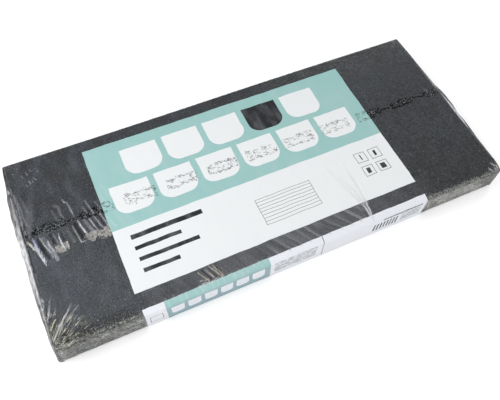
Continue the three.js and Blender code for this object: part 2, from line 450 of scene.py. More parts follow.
SEALANT = (0.002, 0.002, 0.0025)
SEALANT_DUST = (0.13, 0.133, 0.14)
SEALANT_GLINT = (0.38, 0.39, 0.40)
CRUMB_SIZE = 1.1
CRUMB_DARK = (0.34, 0.325, 0.285)
CRUMB_PALE = (0.78, 0.75, 0.66)


def off_dash(x, y):
    """How far a place is along and across from the middle of the nearest dash."""
    along = (x + (HALF_LENGTH - DASH_FROM_END)).repeat(DASH_PITCH) - DASH_LENGTH / 2
    return abs(along), abs(y - SEALANT_Y)


def sealant_material():
    """Black bitumen sealant with a wrinkled skin, dusted grey along the middle of each dash."""
    g = Graph(bpy.data.materials.new("sealant"))
    place = g.place()
    x, y, _ = g.split(place)
    along, across = off_dash(x, y)
    inner = across.fade(5, 9) * along.fade(DASH_LENGTH / 2 - 7, DASH_LENGTH / 2 - 2)
    dust = g.noise(place, 3.4, 2, 0.7)
    colour = g.coats(
        SEALANT,
        (dust.ramp(0.50, 0.56) * inner, SEALANT_DUST),
        # Painted glints: pale flecks over the whole dash
        (dust.ramp(0.60, 0.65, 0, 0.85), SEALANT_GLINT))
    crinkle = g.noise(place, 3.2, 5, 0.7)
    rough = crinkle.ramp(0.3, 0.7, 0.35, 0.6)
    return g.finish(g.principled(colour, rough, 0.1, Normal=g.bump(crinkle, 0.8)))


def loose_grain_material():
    """Shed granules and dust in several shades of beige."""
    g = Graph(bpy.data.materials.new("loose_granules"))
    shade = g.split(g.grains(g.place(), CRUMB_SIZE))[0]
    return g.finish(g.principled(g.mix(shade.ramp(0.1, 0.9), CRUMB_DARK, CRUMB_PALE), 0.9, 0.2))


# ---- print on the film: x along the bundle, v round it from the top's centre line -----------
# Boxes are (left, right, low, high)

TEAL = (0.345, 0.585, 0.565)
TEAL_SIDE_SHADE = (0.267, 0.412, 0.464)
WHITE_INK = (0.87, 0.89, 0.90)
BAND_WHITE = (0.865, 0.885, 0.935)
DARK_INK = (0.028, 0.030, 0.034)
GREY_INK = (0.20, 0.20, 0.21)
BAND_INK = (0.030, 0.032, 0.042)
CLEAR = (0.90, 0.915, 0.92)
HAZE = (0.74, 0.75, 0.80)
# Warm milk, also used for painted glints on folds over beige granules
WARM_HAZE_AND_GLINT = (0.80, 0.76, 0.58)
DUST = (0.43, 0.42, 0.39)
END_FOLD_HIGHLIGHT = (0.74, 0.74, 0.80)
VEIL_AND_SHEEN = (0.62, 0.68, 0.84)
FILM_MIRROR, FILM_ROUGHNESS = 0.035, 0.14
INK_ROUGHNESS, INK_SPECULAR = 0.35, 0.28
# How much of the ink is gone in a crack
INK_CRACKED = 0.85

PANEL = (-335.5, 303, -172.5, 186)
PANEL_SPLIT = -28
# The print is turned a little, in radians, and wavers by this much over this length
PANEL_TURN = 0.005
PRINT_WOBBLE, PRINT_WAVE = 4, 45
TAB = (84, 72, 98, 26)      # width, height, pitch, rounding
COURSES = (
    # first tab's left side, count, underside, number of the dark tab
    (-310, 6, 0, None),
    (-261, 5, 86, 3),
)
BARS = ((-304, -150, -60, -49), (-304, -206, -86, -77), (-304, -176, -112, -103), (-304, -228, -138, -129))
BADGES = (212, 2, 36, 26, -84)      # left, count a side, pitch, size, underside of the upper row
BADGE_INSET, BADGE_BAR_STEP = 6, 1.5
RULED_BLOCK = (-40, 90, -140, -76)
RULE_PITCH = 8
LINE = 1.1

BAND = (-334, 305, -296, -206.5)
BAND_FOLD = (51, 52.6, -296, -206.5)
BAND_TEAL = (-291, -69.5)
BAND_TABS = (-282, 6, -266, 27, 36, 34.5, 9)      # left, count, low, then as TAB
BAND_FRAME = (-326, -300, -268, -238)
GREY_LINES = (
    # box, pitch and height of the lines in it, how worn they are, strength
    ((-60, 36, -268, -222), 6, 2.6, 0.45, 1),
    ((196, 294, -232, -225), 100, 100, 0.40, 1),
    ((246, 294, -268, -238), 9, 4.5, 0.42, 0.8),
)
LINES_FROM = -268
BAND_BARS = (176, 236, -272, -240)
BAND_BAR_PITCH = 8


def box(x, v, left, right, low, high):
    """A mask that is 1 inside a box."""
    return x.between(left, right) * v.between(low, high)


def frame_lines(x, v, left, right, low, high):
    """The outline of a box."""
    inner = box(x, v, left + LINE, right - LINE, low + LINE, high - LINE)
    return box(x, v, left, right, low, high) - inner


def tabs(x, v, left, count, low, width, height, pitch, rounding):
    """A course of roof tabs side by side, their lower corners rounded."""
    across = abs((x - left).repeat(pitch) - width / 2)
    past_x = (across - (width / 2 - rounding)) | 0
    past_v = (low + rounding - v) | 0
    start = left - (pitch - width) / 2
    shape = past_x.hypot(past_v).below(rounding) * v.below(low + height)
    return shape * x.between(start, start + count * pitch)


def panel_print(g, x, v):
    """Colour of the printed panel: courses of tabs on teal, plain bars and boxes on white."""
    colour = g.mix(v.above(PANEL_SPLIT), WHITE_INK, TEAL)
    width, _, pitch, _ = TAB
    for left, count, low, dark in COURSES:
        course = tabs(x, v, left, count, low, *TAB)
        colour = g.mix(course, colour, WHITE_INK)
        if dark is not None:
            start = left + dark * pitch
            colour = g.mix(course * x.between(start - 1, start + width + 1), colour, DARK_INK)
    marks = [box(x, v, *bar) for bar in BARS]
    left, count, pitch, size, low = BADGES
    for number in range(count * count):
        start, base = left + number % count * pitch, low - number // count * pitch
        marks.append(frame_lines(x, v, start, start + size, base, base + size))
        middle, half = start + size / 2, (number + 1) * BADGE_BAR_STEP
        marks.append(box(x, v, middle - half, middle + half, base + BADGE_INSET, base + size - BADGE_INSET))
    rules = box(x, v, *RULED_BLOCK) * (v - RULED_BLOCK[2]).repeat(RULE_PITCH).below(LINE)
    return g.coats(
        colour, (reduce(or_, marks), DARK_INK), (rules | frame_lines(x, v, *RULED_BLOCK), GREY_INK))


def band_print(g, x, v, uv):
    """Colour of the band along the side: a teal block of tabs, worn lines and a bar block."""
    # Painted shade: the teal turns darker where the band runs down the upright side
    teal = g.mix(v.ramp(-216, -232), TEAL, TEAL_SIDE_SHADE)
    colour = g.coats(
        BAND_WHITE, (x.between(*BAND_TEAL), teal), (tabs(x, v, *BAND_TABS), BAND_WHITE))
    bars = box(x, v, *BAND_BARS) * x.repeat(BAND_BAR_PITCH).below(BAND_BAR_PITCH / 2)
    marks = [frame_lines(x, v, *BAND_FRAME), bars]
    wear = g.noise(g.stretched(uv, 1, 5, 1), 9, 1)
    for words, pitch, height, worn, strength in GREY_LINES:
        lines = (v - LINES_FROM).repeat(pitch).below(height)
        marks.append(box(x, v, *words) * lines * wear.apply("GREATER_THAN", worn) * strength)
    return g.mix(reduce(or_, marks), colour, BAND_INK)


GLINT_FANS = (
    # focus x and v, reach, lowest and highest direction in degrees, strength
    ((-508, -224), 100, 15, 98, 0.7),
    ((-506, 226), 60, -85, -10, 0.35),
    ((507, -224), 40, 95, 175, 0.6),
    ((507, 226), 45, -170, -100, 0.4),
    ((168, -222), 70, 80, 118, 0.6),
)
WARM_FAN = 0
STREAKS_A_RADIAN, BREAKS_A_MM = 24, 0.045
STREAK_SOFTNESS = 10      # degrees


def fan_glints(g, x, v, focus, reach, lowest, highest, strength):
    """Painted glints: fine bright streaks that spread from one point and fade out at the given reach."""
    across, up = x - focus[0], v - focus[1]
    radius, angle = across.hypot(up), up.apply("ARCTAN2", across)
    polar = g.add("ShaderNodeCombineXYZ", {
        0: angle * STREAKS_A_RADIAN, 1: radius * BREAKS_A_MM, 2: reach * 0.1})
    low, high, soft = (math.radians(turn) for turn in (lowest, highest, STREAK_SOFTNESS))
    inside = angle.window(low - soft, low + soft, high - soft, high + soft)
    return g.noise(polar, 1, 3, 0.65).ramp(0.56, 0.66) * inside * radius.ramp(reach / 4, reach, strength, 0)


# The painted highlight along the fold at the right end, and half its width: middle, half length, depth and
# crown
FOLD_LINE = (-12, 85, 2.4, 502.4)
FOLD_HALF_WIDTH = (-38, 62, 3.1, 3.1)


def parabola(place, middle, half_length, depth, crown):
    off_middle = (place - middle) / half_length
    return off_middle * off_middle * -depth + crown


def right_end_fold_highlight(g, uv):
    """The painted highlight along the bulge of the right end, a shallow arc that thins towards both tips."""
    x, v, _ = g.split(uv)
    half = parabola(v, *FOLD_HALF_WIDTH)
    inside = (abs(x - parabola(v, *FOLD_LINE)) - half).fade(-1.2, 0.4) * half.ramp(0, 0.6)
    return inside * g.noise(g.stretched(uv, 1, 0.3, 1), 3).ramp(0.3, 0.6, 0.45, 0.9)


def cracks(g, uv):
    """Cracks in the ink where it lies over a dash of sealant."""
    along, across = off_dash(*g.split(uv)[:2])
    lump = g.noise(g.stretched(uv, 0.7, 1, 1), 8, 4, 0.65).ramp(0.2, 0.8, -10, 9, "LINEAR")
    outside = (along - DASH_LENGTH / 2 | across - DASH_WIDTH / 2) + lump
    patchy = g.noise(uv, 11)
    line = abs(outside).fade(0.4, 1.2) * patchy.ramp(0.38, 0.46)
    veins = abs(g.noise(g.stretched(uv, 0.4, 1, 1), 8, 3, 0.6) - 0.5).fade(0.010, 0.022)
    flaked = g.noise(uv, 2.2, 2, 0.7).ramp(0.64, 0.68) | veins * patchy.ramp(0.44, 0.52)
    return line | outside.fade(-1, 3) * flaked


def film_material():
    """Clear shrink film: glossy and faintly milky, opaque where it is printed, cracked over the
    sealant dashes, and along the cut edges grey and streaked with painted shade and painted glints."""
    g = Graph(bpy.data.materials.new("shrink_film"))
    uv = g.stretched(g.add("ShaderNodeUVMap", {}, uv_map="film"), *[1 / MM] * 3)
    plain_x, plain_v, _ = g.split(uv)
    wobble = g.vector("SUBTRACT", g.noise(uv, PRINT_WAVE).other("Color"), [0.5] * 3)
    x, v, _ = g.split(g.vector("MULTIPLY_ADD", wobble, [PRINT_WOBBLE] * 3, uv))
    x, v = v * PANEL_TURN + x, x * -PANEL_TURN + v
    band = box(x, v, *BAND) * (1 - box(x, v, *BAND_FOLD))
    ink = (box(x, v, *PANEL) | band) * (1 - cracks(g, uv) * INK_CRACKED)

    # Painted glints: fine streaks where the film is gathered, at its corners and over the right slot
    fans = [fan_glints(g, plain_x, plain_v, *fan) for fan in GLINT_FANS]
    streaks = reduce(or_, fans)
    glint_colour = g.mix(fans[WARM_FAN].apply("GREATER_THAN", 0.01), HAZE, WARM_HAZE_AND_GLINT)

    normal = g.bump(g.noise(uv, 1.8) * 0.02 + g.noise(uv, 16, 3) * 0.2 + streaks * 0.35, 1)
    facing = g.add("ShaderNodeLayerWeight", {"Blend": 0.5, "Normal": normal}, "Facing")
    patchy = g.noise(uv, 5, 3, 0.7).ramp(0.3, 0.7, 0.75, 1.25, "LINEAR")
    mirror = (facing ** 5).ramp(0, 1, FILM_MIRROR, 0.6, "LINEAR").apply("MULTIPLY", patchy, clamp=True)
    drawn = g.noise(g.stretched(uv, 1, 0.4, 1), 26, 4, 0.6)
    # A bluish layer, stronger to the left and fainter over the sealant line: film haze and painted sheen
    veil_and_sheen = drawn.ramp(0.42, 0.7, 0, 0.05) * plain_x.ramp(0, -350, 0.3, 1)
    veil_and_sheen *= abs(plain_v - SEALANT_Y).ramp(8, 22, 0.2, 1)
    colour = g.mix(band, panel_print(g, x, v), band_print(g, x, v, uv))
    colour = g.mix(drawn.ramp(0.4, 0.7, 0, 0.10), colour, HAZE)
    milk = g.add("ShaderNodeAttribute", {}, "Color", attribute_name="milk")
    film = g.add("ShaderNodeBsdfTransparent", {"Color": CLEAR})
    for share, layer in (
        (mirror, g.add("ShaderNodeBsdfGlossy", {"Roughness": FILM_ROUGHNESS, "Normal": normal})),
        (veil_and_sheen, g.diffuse(VEIL_AND_SHEEN)),
        (streaks, g.diffuse(glint_colour)),
        (ink, g.principled(colour, INK_ROUGHNESS, INK_SPECULAR, Normal=normal)),
        (milk.other("Alpha"), g.diffuse(milk)),
        (right_end_fold_highlight(g, uv), g.diffuse(END_FOLD_HIGHLIGHT)),
    ):
        film = g.add("ShaderNodeMixShader", {0: share, 1: film, 2: layer})
    return g.finish(film)


# ---- strips ---------------------------------------------------------------------------------

def strip_grid():
    """Columns, rows and kept cells of one strip lying flat, tabs towards -Y."""
    slots = [STRIP_LENGTH * n / TAB_COUNT - HALF_LENGTH for n in range(1, TAB_COUNT)]
    slot_sides = [slot + side * SLOT_WIDTH / 2 for slot in slots for side in (-1, 1)]
    columns = places([-HALF_LENGTH, *slot_sides, HALF_LENGTH], EDGE_STEP)
    slot_end = SLOT_DEPTH - SLOT_WIDTH / 2 - HALF_WIDTH
    near_rows = [inset - HALF_WIDTH for inset in EDGE_ROWS]
    middle_rows = places([near_rows[-1], slot_end, HALF_WIDTH - BEND_WIDTH], ROW_STEP)[1:-1]
    rows = np.array([*near_rows, *middle_rows, *(-row for row in reversed(near_rows))])
    x, y = np.meshgrid(columns, rows)
    kept = np.ones((len(rows) - 1, len(columns) - 1), bool)
    middle_x, middle_y = (columns[1:] + columns[:-1]) / 2, (rows[1:] + rows[:-1]) / 2
    for slot in slots:
        kept[np.ix_(middle_y < slot_end, np.abs(middle_x - slot) < SLOT_WIDTH / 2)] = False
        on_end = (np.abs(x - slot) <= SLOT_WIDTH / 2 + ROUNDING) & (np.abs(y - slot_end) < ROUNDING)
        y[on_end] += np.sqrt(np.maximum((SLOT_WIDTH / 2) ** 2 - (x[on_end] - slot) ** 2, 0))
    round_corners(x, y, STRIP_CORNER_RADIUS)
    return x, y, kept


def round_corners(x, y, radius):
    """Moves the grid's points in each corner square into a quarter disc."""
    across = (np.abs(x) - (HALF_LENGTH - radius)) / radius
    along = (np.abs(y) - (HALF_WIDTH - radius)) / radius
    corner = (across > 0) & (along > 0)
    u, w = across[corner], along[corner]
    x[corner] = np.sign(x[corner]) * (HALF_LENGTH - radius + radius * u * np.sqrt(1 - w * w / 2))
    y[corner] = np.sign(y[corner]) * (HALF_WIDTH - radius + radius * w * np.sqrt(1 - u * u / 2))


def boundary_edges(kept):
    """Grid edges round the kept cells, as (row, column) pairs with the kept side on the left."""
    padded = np.pad(kept, 1)
    sides = (
        (padded[:-2, 1:-1], (0, 0), (0, 1)),
        (padded[1:-1, 2:], (0, 1), (1, 1)),
        (padded[2:, 1:-1], (1, 1), (1, 0)),
        (padded[1:-1, :-2], (1, 0), (0, 0)),
    )
    cells = [np.argwhere(kept & ~beside) for beside, _, _ in sides]
    starts = [cell + start for cell, (_, start, _) in zip(cells, sides)]
    ends = [cell + end for cell, (_, _, end) in zip(cells, sides)]
    return np.concatenate(starts), np.concatenate(ends)


def slab_mesh(x, y, kept, underside, topside, rng, ragged):
    """Vertices and quads of a closed slab over a grid, with a rough wall round it."""
    index = np.arange(x.size).reshape(x.shape)
    a, b = (index[tuple(corner.T)] for corner in boundary_edges(kept))
    rim = np.unique(a)
    flat = np.stack([x.ravel(), y.ravel()], 1)
    across_edge = (flat[b] - flat[a])[:, ::-1] * (1, -1)
    outwards = np.zeros(flat.shape)
    for corner in (a, b):
        np.add.at(outwards, corner, across_edge)
    outwards /= np.maximum(np.linalg.norm(outwards, axis=1, keepdims=True), ROUNDING)

    def level(z, amount):
        inwards = np.zeros((x.size, 1))
        if amount:
            inwards[rim, 0] = amount * rng.random(len(rim)) ** 1.5
        return np.column_stack([flat - outwards * inwards, z.ravel()])

    low, high = level(underside, ragged), level(topside, ragged)
    middle = level((underside + topside) / 2, ragged * 0.6)[rim]
    middle_of = np.full(x.size, -1)
    middle_of[rim] = 2 * x.size + np.arange(len(rim))
    row, column = np.nonzero(kept)
    quad = np.stack([
        index[row, column], index[row, column + 1], index[row + 1, column + 1], index[row + 1, column]], 1)
    faces = np.concatenate([
        quad[:, ::-1],
        quad + x.size,
        np.stack([a, b, middle_of[b], middle_of[a]], 1),
        np.stack([middle_of[a], middle_of[b], b + x.size, a + x.size], 1),
    ])
    used, faces = np.unique(faces, return_inverse=True)
    return np.concatenate([low, high, middle])[used], faces.reshape(-1, 4)


def dash_spans():
    """Where each dash starts and ends along a strip; the strip's end cuts the last one."""
    starts = np.arange(DASH_FROM_END, STRIP_LENGTH, DASH_PITCH) - HALF_LENGTH
    return [(start, min(start + DASH_LENGTH, HALF_LENGTH)) for start in starts]


def plain_dash(start, end, base):
    """One dash as a low bar, for the strips whose faces are hidden."""
    x, y = np.meshgrid([start, end], [SEALANT_Y - DASH_WIDTH / 2, SEALANT_Y + DASH_WIDTH / 2])
    low = np.full(x.shape, base)
    return slab_mesh(x, y, np.ones((1, 1), bool), low, low + DASH_HEIGHT, None, 0)


def lumpy_dash(start, end, base, rng):
    """One dash as it looks from above: a crinkled island of bitumen with a ragged outline."""
    near, far = SEALANT_Y - DASH_WIDTH / 2, SEALANT_Y + DASH_WIDTH / 2
    x, y = np.meshgrid(places([start, end], DASH_STEP), places([near, far], DASH_STEP))
    seed = int(rng.integers(1000))
    inset = np.minimum.reduce([x - start, end - x, y - near, far - y])
    crinkle = 1 - np.abs(value_noise(x, y, 4.5, seed))
    rise = smooth_step(0, DASH_RISES_OVER, inset) * (0.45 + 0.55 * crinkle)
    wander = sum(
        DASH_RAGGED * share * value_noise(x, y, cell, seed + step)
        for step, (cell, share) in enumerate(DASH_WANDER, 1))
    off_middle = (y - SEALANT_Y) / (DASH_WIDTH / 2)
    past_middle = (x - (start + end) / 2) / (DASH_LENGTH / 2)
    y = y + (wander - DASH_RAGGED * past_middle ** 2) * off_middle
    x = x + DASH_RAGGED * value_noise(y, x, 5, seed + 4) * past_middle ** 3
    low = np.full(x.shape, base)
    holes = value_noise(x, y, 2.8, seed + 5) + np.minimum(inset / 5, 1)
    high = low + DASH_HEIGHT * (0.12 + 0.88 * rise)
    return slab_mesh(x, y, holes[1:, 1:] > DASH_HOLES, low, high, rng, DASH_EDGE_RAGGED)


def bead(start, end, base, width, rng):
    """A thin wandering line of bitumen that joins two dashes."""
    x, across = np.meshgrid(places([start, end], BEAD_STEP), np.array([-0.5, 0, 0.5]) * width)
    across = across * (1 + 0.5 * value_noise(x, across, (5, 50), 8))
    y = SEALANT_Y + across + BEAD_WANDER * value_noise(x, 0, 8, 7)
    low = np.full(x.shape, base)
    high = low + BEAD_HEIGHT * (0.3 + 0.7 * (np.abs(across) < 0.1))
    return slab_mesh(x, y, np.ones((2, x.shape[1] - 1), bool), low, high, rng, BEAD_RAGGED)


def joined(slabs):
    """Several slabs' vertices and faces as one, and the number of each face's slab."""
    vertices, faces = zip(*slabs)
    starts = np.cumsum([0, *map(len, vertices[:-1])])
    return (
        np.concatenate(vertices),
        np.concatenate([quads + start for quads, start in zip(faces, starts)]),
        np.repeat(np.arange(len(slabs)), [len(quads) for quads in faces]))


def strip(number, materials):
    """The strip of one CAD node, in its place: a granule-faced sheet with rough edges and its
    dashed line of sealant."""
    node = STRIPS[number]
    middle, top, droop = strip_levels(node)
    rng = np.random.default_rng(100 + number)
    x, y, kept = strip_grid()
    underside = np.full(x.shape, top - STRIP_THICKNESS)
    slabs = [slab_mesh(x, y, kept, underside, underside + STRIP_THICKNESS, rng, RAGGED)]
    spans = dash_spans()
    sunk = top - DASH_SUNK
    if number == len(STRIPS) - 1:
        slabs += [lumpy_dash(*span, sunk, rng) for span in spans]
        slabs.append(bead(-HALF_LENGTH, spans[0][0] + BEAD_OVERLAP, sunk, END_BEAD_WIDTH, rng))
        for (_, start), (end, _) in zip(spans, spans[1:]):
            slabs.append(bead(start - BEAD_OVERLAP, end + BEAD_OVERLAP, sunk, BEAD_WIDTH, rng))
    else:
        slabs += [plain_dash(*span, sunk) for span in spans]
    vertices, faces, slab = joined(slabs)
    # Every other strip lies turned end for end
    if (len(STRIPS) - 1 - number) % 2:
        vertices[:, :2] *= -1
    vertices[:, :2] += middle[:2]
    vertices[:, 2] -= droop * settle_share(vertices[:, 0], vertices[:, 1])
    piece = mesh_object(f"strip_{number + 1:02d}", vertices, faces.tolist(), materials, np.minimum(slab, 1))
    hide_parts(node)
    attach(piece, "root")


# ---- loose granules -------------------------------------------------------------------------

GOLDEN = (1 + math.sqrt(5)) / 2
ICOSAHEDRON = np.array([
    (-1, GOLDEN, 0), (1, GOLDEN, 0), (-1, -GOLDEN, 0), (1, -GOLDEN, 0),
    (0, -1, GOLDEN), (0, 1, GOLDEN), (0, -1, -GOLDEN), (0, 1, -GOLDEN),
    (GOLDEN, 0, -1), (GOLDEN, 0, 1), (-GOLDEN, 0, -1), (-GOLDEN, 0, 1),
]) / math.hypot(1, GOLDEN)
ICOSAHEDRON_FACES = np.array([
    (0, 11, 5), (0, 5, 1), (0, 1, 7), (0, 7, 10), (0, 10, 11), (1, 5, 9), (5, 11, 4), (11, 10, 2),
    (10, 7, 6), (7, 1, 8), (3, 9, 4), (3, 4, 2), (3, 2, 6), (3, 6, 8), (3, 8, 9), (4, 9, 5),
    (2, 4, 11), (6, 2, 10), (8, 6, 7), (9, 8, 1),
])
GRAIN_SIZES = (0.28, 0.32)      # smallest, and how much is added to it at most
GRAIN_PATCHES = (
    # count, centre, half sizes, turn: in the pockets of film below the sealant line, at the left end
    (260, (-436, -25), (15, 10), -0.3),
    (220, (-375, -22), (14, 9), -0.35),
    (300, (-348, -28), (16, 11), -0.2),
)
# Strewn from the corner nearest the camera, and along the near edge: count, x, y, reach
CORNER_GRAINS, CORNER_X, CORNER_Y, CORNER_REACH = 650, -498, -214, (150, 42)
EDGE_GRAINS, EDGE_X, EDGE_Y, EDGE_REACH = 420, (-495, 495), -213, 9
GRAIN_FLATNESS = 0.6


def loose_granules(material):
    """Granules and dust that came off the cut edges and lie trapped under the film."""
    rng = np.random.default_rng(77)
    spots = []
    for count, centre, half_size, turn in GRAIN_PATCHES:
        angle = rng.uniform(0, 2 * math.pi, count)
        reach = rng.random(count) ** 0.6
        along, across = half_size[0] * reach * np.cos(angle), half_size[1] * reach * np.sin(angle)
        cos, sin = math.cos(turn), math.sin(turn)
        spots.append((centre[0] + along * cos - across * sin, centre[1] + along * sin + across * cos))
    spots.append((
        CORNER_REACH[0] * rng.random(CORNER_GRAINS) ** 1.6 + CORNER_X,
        CORNER_REACH[1] * rng.random(CORNER_GRAINS) ** 2.2 + CORNER_Y))
    spots.append((
        rng.uniform(*EDGE_X, EDGE_GRAINS), EDGE_REACH * rng.random(EDGE_GRAINS) ** 1.5 + EDGE_Y))
    x, y = np.concatenate(spots, 1)
    smallest, more = GRAIN_SIZES
    size = smallest + more * rng.random(len(x)) ** 2
    _, top, droop = strip_levels(STRIPS[-1])
    height = top - droop * settle_share(x, y) + size * 0.5
    grains = ICOSAHEDRON[None] * size[:, None, None] * rng.uniform(0.7, 1.3, (len(x), 12, 3))
    grains[..., 2] *= GRAIN_FLATNESS
    grains += np.stack([x, y, height], 1)[:, None]
    faces = ICOSAHEDRON_FACES[None] + 12 * np.arange(len(x))[:, None, None]
    piece = mesh_object("loose_granules", grains.reshape(-1, 3), faces.reshape(-1, 3).tolist(), [material])
    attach(piece, "root")


# ---- film -----------------------------------------------------------------------------------

def rounded_ring(half_width, bottom, top, radius, arc_steps=24):
    """A rounded rectangle in the YZ plane as a dense line: from the middle of its underside
    towards -Y, up, over the top and back."""
    low, high = bottom + radius, top - radius
    ring = [(0, bottom)]
    for side, centre, start in ((-1, low, -90), (-1, high, 180), (1, high, 90), (1, low, 0)):
        for step in range(arc_steps + 1):
            angle = math.radians(start - 90 * step / arc_steps)
            ring.append((
                side * (half_width - radius) + radius * math.cos(angle), centre + radius * math.sin(angle)))
    return np.array([*ring, (0, bottom)]).T


def along_ring(ring, shares):
    """Points of a dense ring at the given shares of its length."""
    length = np.concatenate([[0], np.cumsum(np.hypot(*np.diff(ring)))])
    return [np.interp(shares * length[-1], length, values) for values in ring]


SHADE = (0.014, 0.014, 0.016)
# A bluish painted reflection on a milky fold
BLUE_HAZE_AND_SHEEN = (0.56, 0.58, 0.80)
PINK_HAZE = (0.66, 0.59, 0.50)
PAPER_SHADE = (0.55, 0.555, 0.53)

